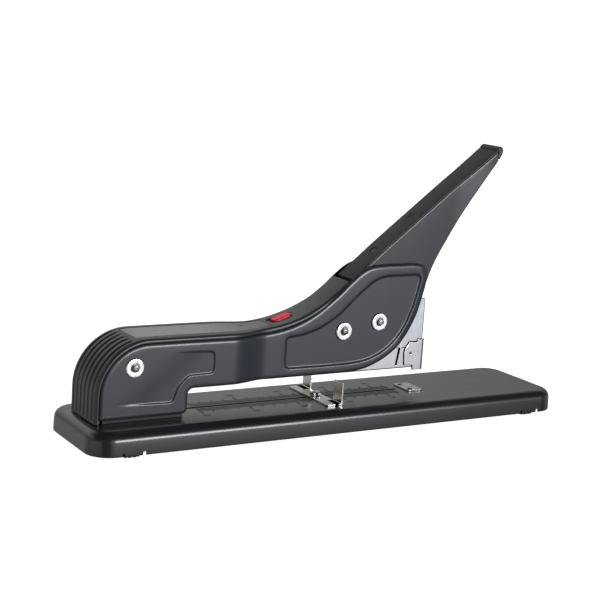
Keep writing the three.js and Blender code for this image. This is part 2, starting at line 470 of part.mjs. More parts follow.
// ================================================================ drawer: nose piece and staple rail, which pull out forwards to load
{
  const hw = MAG_HW + 0.35, out = hw + 1.2;
  // nose: a bright shoe that closes the magazine's mouth and wraps round its sides
  const cheek = [[339.2, 47.2], [348.8, 46.6], [349.2, NOSE_BOTTOM], [HEAD_FRONT, NOSE_BOTTOM], [HEAD_FRONT, HEAD_SPLIT], [353.2, HEAD_SPLIT], [353.2, 69.2], [342.9, 69.2], [342.7, 67.8], [339.2, 63.6], [338.2, 59.9]];
  const wrap = prismY(cheek.slice().reverse(), -out, out);
  const nose = cut(wrap,
    block(330, 352.1, -hw, hw, 30, 80),
    block(351, HEAD_FRONT - 1.5, -7.2, 7.2, 30, 80),
    block(351, HEAD_FRONT - 1.5, -8.3, 8.3, 66.5, 80),
    cylY(345.4, 58.6, 1.3, -20, -5, 10), cylY(345.4, 58.6, 1.3, 5, 20, 10));
  add('drawer', 'nose_piece', nose, CHROME);
  const rail = cut(
    block(190, 352.0, -5.1, 5.1, MAG_BOTTOM + MAG_T + 0.4, 60.5),
    block(196, 349.8, -3.7, 3.7, MAG_BOTTOM + MAG_T + 1.8, 62),
    block(LATCH[0] + 8.5, LATCH[0] + 16.5, -6, 6, 57.2, 62),          // notch for the latch's hook
  );
  add('drawer', 'staple_rail', rail, STEEL);
  add('drawer', 'pusher_rod', cylX(0, 52.8, 1.2, 191.7, 350.9, 8).intersect(block(190.3, 351.7, -3, 3, 50, 56)), STEEL);
}
{
  // bore the rail's end webs for the rod
  const rail = groups.drawer.children.find((m) => m.name === 'staple_rail');
  rail.geometry = geometryOf(cut(solid(rail.geometry), cylX(0, 52.8, 1.55, 180, 360, 10)));
}
{
  // follower: rides on the rail and pushes the staples to the mouth
  const saddle = cut(
    block(327, 344, -6.35, 6.35, MAG_BOTTOM + MAG_T + 3, 63.2),
    block(320, 350, -5.45, 5.45, 40, 60.85));
  const tongueF = block(329, 342, -3.2, 3.2, 49.6, 62.5);
  add('follower', 'follower', cut(union(saddle, tongueF), cylX(0, 52.8, 1.6, 300, 360, 10)), PLASTIC);
  const s = coil(2.3, 0.6, 16, 127.2, 6, 4);
  s.rotateY(Math.PI / 2);
  s.translate(198.8, 0, 52.8);
  add('drawer', 'follower_spring', solid(s), SPRING);
}

// ================================================================ release: red button, and the latch that it rocks
{
  const slope = Math.atan2(104.0 - 97.9, 20);
  const tilted = (s) => s.rotate([0, (-slope * 180) / Math.PI, 0]).translate([BUTTON_X, 0, 99.0]);
  const cap = tilted(prismZ(roundRect(-9.4, 9.4, -5.0, 5.0, 2.6, 3), -3.8, 1.9));
  const stem = block(BUTTON_X - 1.6, BUTTON_X + 1.6, -1.6, 1.6, 73.9, 97);
  add('release', 'release_button', union(cap, stem), RED);
  // latch: a rocker whose rear arm lies under the button's stem and whose hook stands over the rail's notch
  const [lx, lz] = LATCH;
  const profile = [[lx - 11.2, lz + 3.3], [lx - 5, lz + 3.6], [lx - 2.6, lz + 5], [lx + 2.5, lz + 5], [lx + 8, lz], [lx + 11.7, lz - 6],
    [lx + 11.7, lz - 9.0], [lx + 8.9, lz - 9.0], [lx + 8.9, lz - 7.5], [lx + 2.5, lz - 4.2], [lx - 2.5, lz - 3.9], [lx - 5.5, lz + 0.6], [lx - 11.2, lz + 1.3]];
  const latch = cut(prismY(profile.slice().reverse(), -4.4, 4.4), cylY(lx, lz, 2.32, -10, 10, 12));
  add('release', 'release_latch', latch, DARK_STEEL);
}

// ================================================================ paper guide: slides in the deck's slot and stops the sheets' edge
{
  const z0 = BASE_H + 0.3, t = 1.3;
  const foot = prismZ(roundRect(GUIDE_X0, GUIDE_X1, -GUIDE_HW, GUIDE_HW, 2, 2), z0, z0 + t);
  const ears = [-1, 1].map((s) => prismX(
    (s < 0 ? [[-GUIDE_HW, z0], [-GUIDE_EAR_Y, z0], [-GUIDE_EAR_Y, z0 + GUIDE_EAR_H], [-GUIDE_HW, z0 + GUIDE_EAR_H]]
      : [[GUIDE_EAR_Y, z0], [GUIDE_HW, z0], [GUIDE_HW, z0 + GUIDE_EAR_H], [GUIDE_EAR_Y, z0 + GUIDE_EAR_H]]), GUIDE_X1 - t, GUIDE_X1));
  add('guide', 'paper_guide', cut(union(foot, ...ears), cylZ(246.5, 0, 2.0, 10, 30, 12)), CHROME);
  // clamp screw with a low knurled head, and the shoe that it draws up under the deck
  add('guide', 'guide_screw', union(cylZ(246.5, 0, 5.4, z0 + t + 0.32, z0 + t + 3.6, 18), cylZ(246.5, 0, 1.65, 12.2, z0 + t + 0.5, 12)), STEEL);
  add('guide', 'guide_shoe', cut(
    union(block(240.5, 252.5, -5.6, 5.6, 13.2, 15.2), block(240.5, 252.5, -1.85, 1.85, 15.0, BASE_H - 0.4)),
    cylZ(246.5, 0, 2.0, 5, 30, 12)), STEEL);
}

export default root;
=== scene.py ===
import math
import bpy
import bmesh
import numpy as np
from mathutils import Vector, Matrix, Quaternion
from mathutils.geometry import delaunay_2d_cdt


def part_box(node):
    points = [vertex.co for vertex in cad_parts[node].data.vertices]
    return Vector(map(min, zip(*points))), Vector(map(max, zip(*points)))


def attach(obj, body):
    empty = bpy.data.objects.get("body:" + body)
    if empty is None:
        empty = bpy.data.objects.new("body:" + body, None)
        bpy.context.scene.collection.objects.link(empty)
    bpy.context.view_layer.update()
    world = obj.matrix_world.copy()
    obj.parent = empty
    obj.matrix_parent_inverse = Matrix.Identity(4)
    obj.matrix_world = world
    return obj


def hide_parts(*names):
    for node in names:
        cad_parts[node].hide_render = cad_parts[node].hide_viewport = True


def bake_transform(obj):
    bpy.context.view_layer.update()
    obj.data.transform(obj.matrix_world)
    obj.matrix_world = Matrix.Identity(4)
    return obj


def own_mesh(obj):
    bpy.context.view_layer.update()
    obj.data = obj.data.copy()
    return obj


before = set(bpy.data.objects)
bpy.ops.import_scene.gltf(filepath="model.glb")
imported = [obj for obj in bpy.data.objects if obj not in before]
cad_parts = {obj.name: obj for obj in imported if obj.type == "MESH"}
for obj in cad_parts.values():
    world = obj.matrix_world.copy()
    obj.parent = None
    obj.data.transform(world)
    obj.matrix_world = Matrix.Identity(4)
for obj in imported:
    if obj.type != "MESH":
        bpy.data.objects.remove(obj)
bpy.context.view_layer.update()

# Long-reach heavy-duty stapler. Drawing coordinates are millimetres: X from the base's rear edge, Y to the left,
# Z from the lower edge of its skirt. The place of that edge comes from the CAD tray.
LO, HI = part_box("base_tray")
OX, OZ = LO[0] * 1000.0, LO[2] * 1000.0
BASE_L, BASE_W, BASE_H = (HI[0] - LO[0]) * 1000.0, (HI[1] - LO[1]) * 1000.0, (HI[2] - LO[2]) * 1000.0
FLOOR_Z = 0.0
# brightness of the surroundings by height, in front and behind: 0 straight down, 0.5 level, 1 straight up
FRONT_BAND = ((0.34, 0.38), (0.41, 0.84), (0.48, 0.86), (0.56, 0.50), (0.66, 0.14), (0.80, 0.02))
BACK_BAND = ((0.28, 0.30), (0.40, 0.52), (0.50, 0.50), (0.58, 0.40), (0.64, 0.46), (0.72, 0.92), (0.80, 0.98), (0.87, 0.20), (0.94, 0.02))
KEY = 50.0


def F(p):
    return ((p[0] + OX) / 1000.0, p[1] / 1000.0, (p[2] + OZ) / 1000.0)


# ------------------------------------------------------------------ materials
def new_mat(name):
    m = bpy.data.materials.new(name)
    m.use_nodes = True
    nt = m.node_tree
    bsdf = nt.nodes["Principled BSDF"]
    return m, nt, bsdf


def noise(nt, scale, detail=4.0, rough=0.55, stretch=None, kind="Noise", dist=0.0):
    co = nt.nodes.new("ShaderNodeTexCoord")
    mp = nt.nodes.new("ShaderNodeMapping")
    nt.links.new(co.outputs["Object"], mp.inputs["Vector"])
    if stretch:
        mp.inputs["Scale"].default_value = stretch
    t = nt.nodes.new("ShaderNodeTex" + kind)
    t.inputs["Scale"].default_value = scale
    if kind == "Noise":
        t.inputs["Detail"].default_value = detail
        t.inputs["Roughness"].default_value = rough
        t.inputs["Distortion"].default_value = dist
    nt.links.new(mp.outputs["Vector"], t.inputs["Vector"])
    return t.outputs["Fac"] if kind == "Noise" else t.outputs["Distance"]


def ramp(nt, fac, lo, hi, a, b):
    r = nt.nodes.new("ShaderNodeMapRange")
    r.inputs["From Min"].default_value = lo
    r.inputs["From Max"].default_value = hi
    r.inputs["To Min"].default_value = a
    r.inputs["To Max"].default_value = b
    r.clamp = True
    nt.links.new(fac, r.inputs["Value"])
    return r.outputs["Result"]


def mix_col(nt, fac, a, b):
    mx = nt.nodes.new("ShaderNodeMix")
    mx.data_type = "RGBA"
    mx.inputs["A"].default_value = (*a, 1.0)
    mx.inputs["B"].default_value = (*b, 1.0)
    nt.links.new(fac, mx.inputs["Factor"])
    return mx.outputs["Result"]


def bump(nt, height, strength, distance, normal=None):
    b = nt.nodes.new("ShaderNodeBump")
    b.inputs["Strength"].default_value = strength
    b.inputs["Distance"].default_value = distance
    nt.links.new(height, b.inputs["Height"])
    if normal is not None:
        nt.links.new(normal, b.inputs["Normal"])
    return b.outputs["Normal"]


def edge_wear(nt, lo=0.52, hi=0.62):
    g = nt.nodes.new("ShaderNodeNewGeometry")
    return ramp(nt, g.outputs["Pointiness"], lo, hi, 0.0, 1.0)


def paint(name, base, light, rough, spec_ior, coat, coat_rough, peel=0.25):
    m, nt, b = new_mat(name)
    big = noise(nt, 26.0, 3.0, 0.5)
    fine = noise(nt, 900.0, 3.0, 0.5)
    b.inputs["Metallic"].default_value = 0.0
    b.inputs["IOR"].default_value = spec_ior
    b.inputs["Coat Weight"].default_value = coat
    b.inputs["Coat Roughness"].default_value = coat_rough
    nt.links.new(mix_col(nt, ramp(nt, big, 0.35, 0.65, 0.0, 1.0), base, light), b.inputs["Base Color"])
    mott = noise(nt, 70.0, 2.0, 0.5)
    nt.links.new(ramp(nt, mott, 0.2, 0.8, rough * 0.93, rough * 1.08), b.inputs["Roughness"])
    n = bump(nt, fine, peel, 0.00012)
    nt.links.new(n, b.inputs["Normal"])
    return m


def plastic(name, base, light, rough, grain_scale, grain, ior=1.46):
    m, nt, b = new_mat(name)
    g = noise(nt, grain_scale, 2.0, 0.6)
    v = noise(nt, grain_scale * 0.6, kind="Voronoi")
    big = noise(nt, 30.0, 4.0, 0.55)
    b.inputs["IOR"].default_value = ior
    nt.links.new(mix_col(nt, ramp(nt, big, 0.3, 0.7, 0.0, 1.0), base, light), b.inputs["Base Color"])
    nt.links.new(ramp(nt, g, 0.3, 0.7, rough * 0.85, rough * 1.15), b.inputs["Roughness"])
    n1 = bump(nt, v, grain, 0.00012)
    nt.links.new(bump(nt, g, grain * 0.8, 0.0001, n1), b.inputs["Normal"])
    return m


def metal(name, base, light, rough, brush=(1.0, 1.0, 1.0), bump_s=0.08, scale=400.0):
    m, nt, b = new_mat(name)
    b.inputs["Metallic"].default_value = 1.0
    br = noise(nt, scale, 3.0, 0.5, stretch=brush)
    big = noise(nt, 45.0, 4.0, 0.6)
    nt.links.new(mix_col(nt, ramp(nt, big, 0.3, 0.7, 0.0, 1.0), base, light), b.inputs["Base Color"])
    nt.links.new(ramp(nt, br, 0.3, 0.7, rough * 0.75, rough * 1.3), b.inputs["Roughness"])
    nt.links.new(bump(nt, br, bump_s, 0.00008), b.inputs["Normal"])
    return m


BASE_PAINT = paint("base_gloss_paint", (0.0095, 0.0108, 0.0128), (0.0120, 0.0134, 0.0158), 0.32, 1.5, 0.45, 0.20, 0.05)
ARM_PAINT = paint("arm_satin_paint", (0.0150, 0.0172, 0.0250), (0.0180, 0.0205, 0.0285), 0.42, 1.5, 0.42, 0.20, 0.12)
HANDLE_PAINT = paint("handle_paint", (0.0205, 0.0228, 0.0295), (0.0245, 0.0268, 0.0335), 0.30, 1.5, 0.34, 0.16, 0.05)
COVER_PLASTIC = plastic("cover_plastic", (0.021, 0.0235, 0.0245), (0.028, 0.031, 0.031), 0.36, 1500.0, 0.22, 1.5)
GRIP_PLASTIC = plastic("grip_plastic", (0.024, 0.026, 0.027), (0.036, 0.038, 0.039), 0.55, 1100.0, 0.75)
CHROME = metal("bright_chrome", (0.90, 0.885, 0.885), (0.97, 0.95, 0.95), 0.20, (1.0, 1.0, 0.15), 0.10)
HEAD_CHROME = metal("head_chrome", (0.84, 0.855, 0.88), (0.93, 0.94, 0.965), 0.22, (1.0, 1.0, 0.3), 0.16)
GUIDE_NICKEL = metal("guide_nickel", (0.56, 0.525, 0.50), (0.66, 0.62, 0.59), 0.24, (1.0, 0.2, 1.0), 0.10)
ANVIL_STEEL = metal("anvil_steel", (0.40, 0.41, 0.42), (0.52, 0.53, 0.54), 0.30, (0.3, 1.0, 1.0), 0.12)
DISC_CHROME = metal("disc_chrome", (0.76, 0.74, 0.75), (0.85, 0.83, 0.84), 0.34, (1.0, 1.0, 1.0), 0.10)
STEEL = metal("plain_steel", (0.46, 0.47, 0.49), (0.58, 0.59, 0.60), 0.30, (1.0, 1.0, 0.2), 0.12)
STUD_STEEL = metal("stud_steel", (0.16, 0.15, 0.145), (0.34, 0.32, 0.31), 0.30, (1.0, 0.2, 1.0), 0.15)
DARK_STEEL = metal("dark_steel", (0.10, 0.105, 0.11), (0.15, 0.155, 0.16), 0.42, (1.0, 1.0, 1.0), 0.15)
SPRING = metal("spring_steel", (0.50, 0.51, 0.53), (0.62, 0.63, 0.65), 0.25, (1.0, 1.0, 1.0), 0.06)
RUBBER = plastic("foot_rubber", (0.010, 0.010, 0.010), (0.018, 0.018, 0.018), 0.8, 900.0, 0.6)
RED = plastic("red_plastic", (0.90, 0.008, 0.030), (0.95, 0.012, 0.036), 0.34, 1400.0, 0.10, 1.38)
BLACK = plastic("black_trim", (0.008, 0.008, 0.008), (0.013, 0.013, 0.013), 0.6, 1200.0, 0.3)


def print_mat():
    m, nt, b = new_mat("deck_print")
    b.inputs["Roughness"].default_value = 0.8
    b.inputs["Specular IOR Level"].default_value = 0.0
    sp = noise(nt, 2600.0, 2.0, 0.7)
    nt.links.new(mix_col(nt, ramp(nt, sp, 0.3, 0.7, 0.0, 1.0), (0.004, 0.004, 0.004), (0.016, 0.016, 0.016)), b.inputs["Base Color"])
    return m


PRINT = print_mat()


# ------------------------------------------------------------------ mesh helpers
def finish_mesh(ob, angle=32.0, weighted=True):
    me = ob.data
    for p in me.polygons:
        p.use_smooth = True
    me.set_sharp_from_angle(angle=math.radians(angle))
    if weighted:
        w = ob.modifiers.new("weighted", "WEIGHTED_NORMAL")
        w.keep_sharp = True
        w.weight = 80


def make(name, verts, faces, material, body, replaces=(), angle=32.0, bevel=0.0, bevel_seg=2, weighted=True, bevel_angle=40.0, cuts=(), keep=(), joins=(), subsurf=0):
    me = bpy.data.meshes.new(name)
    me.from_pydata([F(v) for v in verts], [], faces)
    bm = bmesh.new()
    bm.from_mesh(me)
    bmesh.ops.remove_doubles(bm, verts=bm.verts, dist=1e-7)
    bmesh.ops.recalc_face_normals(bm, faces=bm.faces)
    bm.to_mesh(me)
    bm.free()
    ob = bpy.data.objects.new(name, me)
    bpy.context.scene.collection.objects.link(ob)
    ops = [("UNION", j) for j in joins] + [("DIFFERENCE", c) for c in cuts] + [("INTERSECT", k) for k in keep]
    for kind, tool in ops:
        md = ob.modifiers.new("cut", "BOOLEAN")
        md.operation = kind
        md.solver = "EXACT"
        md.object = tool
    if bevel > 0:
        md = ob.modifiers.new("bevel", "BEVEL")
        md.width = bevel / 1000.0
        md.segments = bevel_seg
        md.limit_method = "ANGLE"
        md.angle_limit = math.radians(bevel_angle)
        md.use_clamp_overlap = True
        md.miter_outer = "MITER_ARC"
    if subsurf:
        md = ob.modifiers.new("sub", "SUBSURF")
        md.levels = md.render_levels = subsurf
    if ops or bevel > 0 or subsurf:
        bpy.context.view_layer.update()
        dg = bpy.context.evaluated_depsgraph_get()
        baked = bpy.data.meshes.new_from_object(ob.evaluated_get(dg))
        ob.modifiers.clear()
        ob.data = baked
        for _, tool in ops:
            if tool.name in bpy.data.objects:
                bpy.data.objects.remove(tool)
    ob.data.materials.clear()
    ob.data.materials.append(material)
    if body:
        finish_mesh(ob, angle, weighted)
        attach(ob, body)
        if replaces:
            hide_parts(*replaces)
    return ob


def tool(verts, faces):
    """A solid to cut or join with. It is removed once it has been used."""
    return make("tool", verts, faces, BLACK, None)


def loop_faces(rings, closed=True, cap0=True, cap1=True):
    """Faces between successive rings of equal length, numbered one ring after another."""
    n = len(rings[0])
    faces = []
    for i in range(len(rings) - 1):
        a, b = i * n, (i + 1) * n
        for k in range(n if closed else n - 1):
            j = (k + 1) % n
            faces.append((a + k, a + j, b + j, b + k))
    if cap0:
        faces.append(tuple(range(n - 1, -1, -1)))
    if cap1:
        faces.append(tuple((len(rings) - 1) * n + k for k in range(n)))
    return faces


def flat(rings):
    return [p for r in rings for p in r]


def arc(cx, cy, r, a0, a1, n, ry=None):
    ry = r if ry is None else ry
    return [(cx + r * math.cos(math.radians(a0 + (a1 - a0) * i / n)), cy + ry * math.sin(math.radians(a0 + (a1 - a0) * i / n))) for i in range(n + 1)]


def round_rect(x0, x1, y0, y1, r, n=6):
    return (arc(x1 - r, y1 - r, r, 0, 90, n) + arc(x0 + r, y1 - r, r, 90, 180, n)
            + arc(x0 + r, y0 + r, r, 180, 270, n) + arc(x1 - r, y0 + r, r, 270, 360, n))


def spline(pts, step):
    P = np.array(pts, float)
    d = np.r_[0, np.cumsum(np.linalg.norm(np.diff(P, axis=0), axis=1))]
    m = np.gradient(P, d, axis=0)
    t = np.linspace(0, d[-1], max(2, int(d[-1] / step) + 1))
    i = np.clip(np.searchsorted(d, t, side="right") - 1, 0, len(P) - 2)
    h = (d[i + 1] - d[i])
    u = ((t - d[i]) / h)[:, None]
    h = h[:, None]
    return ((2 * u ** 3 - 3 * u ** 2 + 1) * P[i] + (u ** 3 - 2 * u ** 2 + u) * h * m[i]
            + (-2 * u ** 3 + 3 * u ** 2) * P[i + 1] + (u ** 3 - u ** 2) * h * m[i + 1])


def closed_spline(pts, step):
    P = [tuple(p) for p in pts]
    ext = P[-3:] + P + P[:4]
    S = spline(ext, step)
    # keep the part from P[0] to the return to P[0]
    a = int(np.argmin(np.linalg.norm(S[: len(S) // 2] - np.array(P[0]), axis=1)))
    tail = S[len(S) // 2:]
    b = len(S) // 2 + int(np.argmin(np.linalg.norm(tail - np.array(P[0]), axis=1)))
    return S[a:b]


def resample(pts, step, closed=False):
    P = np.array(pts, float)
    if closed:
        P = np.vstack([P, P[:1]])
    seg = np.linalg.norm(np.diff(P, axis=0), axis=1)
    keep = np.r_[True, seg > 1e-9]
    P = P[keep]
    d = np.r_[0, np.cumsum(np.linalg.norm(np.diff(P, axis=0), axis=1))]
    n = max(3, int(round(d[-1] / step)))
    t = np.linspace(0, d[-1], n + 1)
    if closed:
        t = t[:-1]
    return np.c_[np.interp(t, d, P[:, 0]), np.interp(t, d, P[:, 1])]


def area2(P):
    P = np.asarray(P)
    x, y = P[:, 0], P[:, 1]
    return float(np.sum(x * np.roll(y, -1) - np.roll(x, -1) * y))


def inset(P, d):
    """A closed outline moved inwards by d, corner by corner."""
    P = np.asarray(P, float)
    s = 1.0 if area2(P) > 0 else -1.0
    a, b = np.roll(P, 1, axis=0), np.roll(P, -1, axis=0)
    t1 = (P - a) / np.maximum(np.linalg.norm(P - a, axis=1), 1e-9)[:, None]
    t2 = (b - P) / np.maximum(np.linalg.norm(b - P, axis=1), 1e-9)[:, None]
    n1 = np.c_[-t1[:, 1], t1[:, 0]] * s
    n2 = np.c_[-t2[:, 1], t2[:, 0]] * s
    m = n1 + n2
    L = np.maximum(np.linalg.norm(m, axis=1), 0.2)
    m = m / L[:, None]
    c = np.clip(np.sum(m * n1, axis=1), 0.5, 1.0)
    return P + m * (d / c)[:, None]


AX = {
    "y": lambda u, v, h: (u, h, v),      # outline in (x, z), thickness along y
    "z": lambda u, v, h: (u, v, h),      # outline in (x, y), thickness along z
    "x": lambda u, v, h: (h, u, v),      # outline in (y, z), thickness along x
}


def prism(outline, h0, h1, axis, r=0.0, seg=3):
    """An outline extruded along an axis, with its two rims rounded by r."""
    P = np.asarray(outline, float)
    g = AX[axis]
    rings = []
    if r > 0:
        for i in range(seg + 1):
            a = math.pi / 2 * i / seg
            rings.append((inset(P, r * (1 - math.sin(a))), h0 + r * (1 - math.cos(a))))
        for i in range(seg + 1):
            a = math.pi / 2 * (1 - i / seg)
            rings.append((inset(P, r * (1 - math.sin(a))), h1 - r * (1 - math.cos(a))))
    else:
        rings = [(P, h0), (P, h1)]
    out = [[g(p[0], p[1], h) for p in ring] for ring, h in rings]
    return flat(out), loop_faces(out)


def lathe(profile, axis, centre, seg=64):
    """profile is (distance along the axis, radius) from end to end; centre is the two other coordinates."""
    rings = []
    for h, r in profile:
        ring = []
        for k in range(seg):
            a = 2 * math.pi * k / seg
            u, v = centre[0] + r * math.cos(a), centre[1] + r * math.sin(a)
            ring.append({"y": (u, h, v), "z": (u, v, h), "x": (h, u, v)}[axis])
        rings.append(ring)
    return flat(rings), loop_faces(rings)


def rounded(h0, h1, r0, edge, seg=4):
    """Profile of a plain disc or rod with rounded ends, for lathe()."""
    out = [(h0, r0 - edge)]
    for i in range(1, seg + 1):
        a = math.pi / 2 * i / seg
        out.append((h0 + edge * (1 - math.cos(a)), r0 - edge + edge * math.sin(a)))
    for i in range(seg):
        a = math.pi / 2 * (1 - i / seg)
        out.append((h1 - edge * (1 - math.cos(a)), r0 - edge + edge * math.sin(a)))
    out.append((h1, r0 - edge))
    return out


def sm(t):
    t = np.clip(t, 0.0, 1.0)
    return t * t * (3 - 2 * t)


def merge(parts):
    V, Fc = [], []
    for v, f in parts:
        o = len(V)
        V += list(v)
        Fc += [tuple(i + o for i in face) for face in f]
    return V, Fc


# ------------------------------------------------------------------ shared shapes
REAR_HW, FRONT_HW, JX0, JX1 = 27.0, 18.2, 142.0, 181.0
REAR_PIVOT, TIE, HANDLE_PIVOT = (46.5, 69.0), (262.6, 86.4), (301.7, 93.2)


def half_width(x):
    return REAR_HW + (FRONT_HW - REAR_HW) * sm((np.asarray(x, float) - JX0) / (JX1 - JX0))


PLATE = (
    arc(17.5, 25.9, 2.2, 270, 180, 4)
    + arc(60.5, 44, 45.2, 180, 90, 40)
    + [(90, 89.2), (120, 89.0), (150, 88.7)]
    + [tuple(p) for p in spline([(160, 88.6), (171.4, 88.9), (191.1, 90.7), (210.9, 95.5), (230.6, 104.6), (243.6, 113.6), (256.7, 123.9), (267.8, 133.7),
                                 (280.4, 142.9), (285.5, 145.4), (291.5, 146.8), (301, 147.6), (311.6, 147.9), (326, 147.9), (341, 147.6), (348.6, 145.6),
                                 (353.6, 141.8), (355.3, 137.6), (354.3, 130), (350.4, 113.8), (345.9, 99), (339.6, 85.6), (330.5, 72.6), (319.5, 62.9),
                                 (302.8, 53.4), (285.9, 48.0), (267.4, 46.3), (250, 46.2)], 1.2)]
    + [(235, 46.2), (170, 46.2)]
    + arc(104.5, 40.7, 5.5, 90, 180, 8)
    + arc(94, 28.7, 5.0, 0, -90, 8)
)


def corner_poly(pts, step=1.0):
    """A closed outline from (x, z, corner radius) points."""
    n, out = len(pts), []
    for i in range(n):
        p, c, q = np.array(pts[i - 1][:2], float), np.array(pts[i][:2], float), np.array(pts[(i + 1) % n][:2], float)
        r = pts[i][2]
        u, v = p - c, q - c
        lu, lv = np.linalg.norm(u), np.linalg.norm(v)
        u, v = u / lu, v / lv
        ang = math.acos(float(np.clip(np.dot(u, v), -1, 1)))
        cut = min(r / math.tan(ang / 2), lu * 0.48, lv * 0.48)
        k = max(2, int(cut * 2 / step) + 2)
        for j in range(k + 1):
            w = j / k
            out.append(tuple((1 - w) ** 2 * (c + u * cut) + 2 * w * (1 - w) * c + w * w * (c + v * cut)))
    return resample(out, step, closed=True)


REAR_PANEL = corner_poly([(28.5, 36.6, 5), (84.0, 35.4, 5), (88.6, 49.0, 12), (98.6, 58.6, 9), (123.2, 58.9, 5), (123.0, 78.6, 5), (58, 81.5, 14), (32, 66, 16)])
HEAD_PANEL = corner_poly([(200.4, 84.4, 5), (200.6, 55.0, 6), (240, 54.7, 60), (270, 55.0, 60), (290, 57.0, 60), (308.5, 64.2, 60), (323.5, 76.8, 60), (333.2, 92.0, 60),
                          (339.4, 107.5, 60), (343.6, 122.0, 60), (346.6, 137.4, 6), (326, 137.4, 60), (304, 137.4, 60), (291, 132.6, 60), (274, 118.8, 60), (256, 102.6, 60),
                          (237, 91.4, 60), (218, 86.0, 60)])


def dist_to(P, poly, closed=True):
    """Distance from each point to a polyline."""
    A = np.asarray(poly, float)
    B = np.roll(A, -1, axis=0) if closed else A[1:]
    if not closed:
        A = A[:-1]
    out = np.full(len(P), 1e9)
    AB = B - A
    L2 = np.maximum(np.sum(AB * AB, axis=1), 1e-12)
    for i in range(0, len(P), 1500):
        Q = P[i:i + 1500]
        t = np.clip(np.einsum("qak,ak->qa", Q[:, None, :] - A[None], AB) / L2, 0, 1)
        C = A[None] + t[..., None] * AB[None]
        out[i:i + 1500] = np.sqrt(np.min(np.sum((Q[:, None, :] - C) ** 2, axis=2), axis=1))
    return out


def inside(P, poly):
    A = np.asarray(poly, float)
    B = np.roll(A, -1, axis=0)
    res = np.zeros(len(P), bool)
    for a, b in zip(A, B):
        c = ((a[1] > P[:, 1]) != (b[1] > P[:, 1])) & (P[:, 0] < (b[0] - a[0]) * (P[:, 1] - a[1]) / (b[1] - a[1] + 1e-12) + a[0])
        res ^= c
    return res


def plate_sheet():
    """Points, triangles and rim of the side plate's outline, dense where the surface bends."""
    rim = resample(PLATE, 1.5, closed=True)
    if area2(rim) < 0:
        rim = rim[::-1]
    pts = [rim]
    for d in (0.12, 0.35, 0.7, 1.15, 1.7, 2.35, 3.1, 4.0):
        pts.append(inset(rim, d))
    panels = [REAR_PANEL, HEAD_PANEL]
    for pn in panels:
        for d in (-1.6, -1.0, -0.6, -0.25, 0.1, 0.45, 0.85, 1.4, 2.2):
            pts.append(inset(pn, d))
    all_pts = np.vstack(pts)
    gx, gz = np.meshgrid(np.arange(12, 360, 3.2), np.arange(22, 150, 3.2))
    grid = np.c_[gx.ravel(), gz.ravel()]
    jx, jz = np.meshgrid(np.arange(JX0 - 3, JX1 + 4, 1.6), np.arange(44, 92, 3.2))
    grid = np.vstack([grid, np.c_[jx.ravel() + 0.01, jz.ravel() + 0.013]])
    grid = grid[inside(grid, rim)]
    keep = dist_to(grid, rim) > 5.2
    for pn in panels:
        keep &= dist_to(grid, pn) > 3.2
    grid = grid[keep]
    others = all_pts[len(rim):]
    ok = inside(others, rim) & (dist_to(others, rim) > 0.2)
    pts = np.vstack([rim, others[ok], grid])
    n = len(rim)
    edges = [(i, (i + 1) % n) for i in range(n)]
    v, e, f, ov, oe, of_ = delaunay_2d_cdt([Vector(p) for p in pts], edges, [], 1, 1e-4)
    V = np.array([[p.x, p.y] for p in v])
    tri = [tuple(t) for t in f]
    cen = np.array([V[list(t)].mean(axis=0) for t in tri])
    good = inside(cen, rim)
    tri = [t for t, g in zip(tri, good) if g]
    used = sorted({i for t in tri for i in t})
    remap = {o: k for k, o in enumerate(used)}
    V = V[used]
    tri = [tuple(remap[i] for i in t) for t in tri]
    return V, tri, rim, panels


PV, PT, PRIM, PANELS = plate_sheet()
PD = dist_to(PV, PRIM)


def plate_y():
    y = half_width(PV[:, 0])
    rho, drop = 3.9, 2.6
    u = np.clip(1 - PD / rho, 0, 1)
    y = y - drop * (1 - np.sqrt(np.clip(1 - u * u, 0, 1)))
    # the front edge is rolled over a wider band
    front = np.array([p for p in PLATE if p[0] > 332 and 70 < p[1] < 143])
    u = np.clip(1 - dist_to(PV, front, closed=False) / 8.0, 0, 1)
    y = y - 1.1 * u * u * (3 - 2 * u)
    # rear panel: pressed in, deepest along its lower and front edges
    s = dist_to(PV, PANELS[0]) * np.where(inside(PV, PANELS[0]), 1, -1)
    fade = sm((PV[:, 0] * 0.8 - PV[:, 1] + 16.0) / 34.0)
    y = y - 1.0 * sm((s + 1.0) / 2.0) * fade
    s = dist_to(PV, PANELS[1]) * np.where(inside(PV, PANELS[1]), 1, -1)
    y = y - 1.5 * sm((s + 1.4) / 2.9)
    return y


PY = plate_y()


def boundary(tri):
    count = {}
    for t in tri:
        for a, b in ((t[0], t[1]), (t[1], t[2]), (t[2], t[0])):
            k = (min(a, b), max(a, b))
            count.setdefault(k, []).append((a, b))
    return [v[0] for v in count.values() if len(v) == 1]


def side_plate(name, sign, node):
    t_in = 1.5 - 0.9 * sm(1 - PD / 3.9)
    outer = [(x, sign * y, z) for (x, z), y in zip(PV, PY)]
    inner = [(x, sign * (y - t), z) for (x, z), y, t in zip(PV, PY, t_in)]
    n = len(outer)
    faces = [t for t in PT] + [tuple(n + i for i in reversed(t)) for t in PT]
    for a, b in boundary(PT):
        faces.append((b, a, n + a, n + b))
    return make(name, outer + inner, faces, ARM_PAINT, "arm", (node,), angle=50, weighted=False)


side_plate("plate_right", -1, "side_plate_right")
side_plate("plate_left", 1, "side_plate_left")


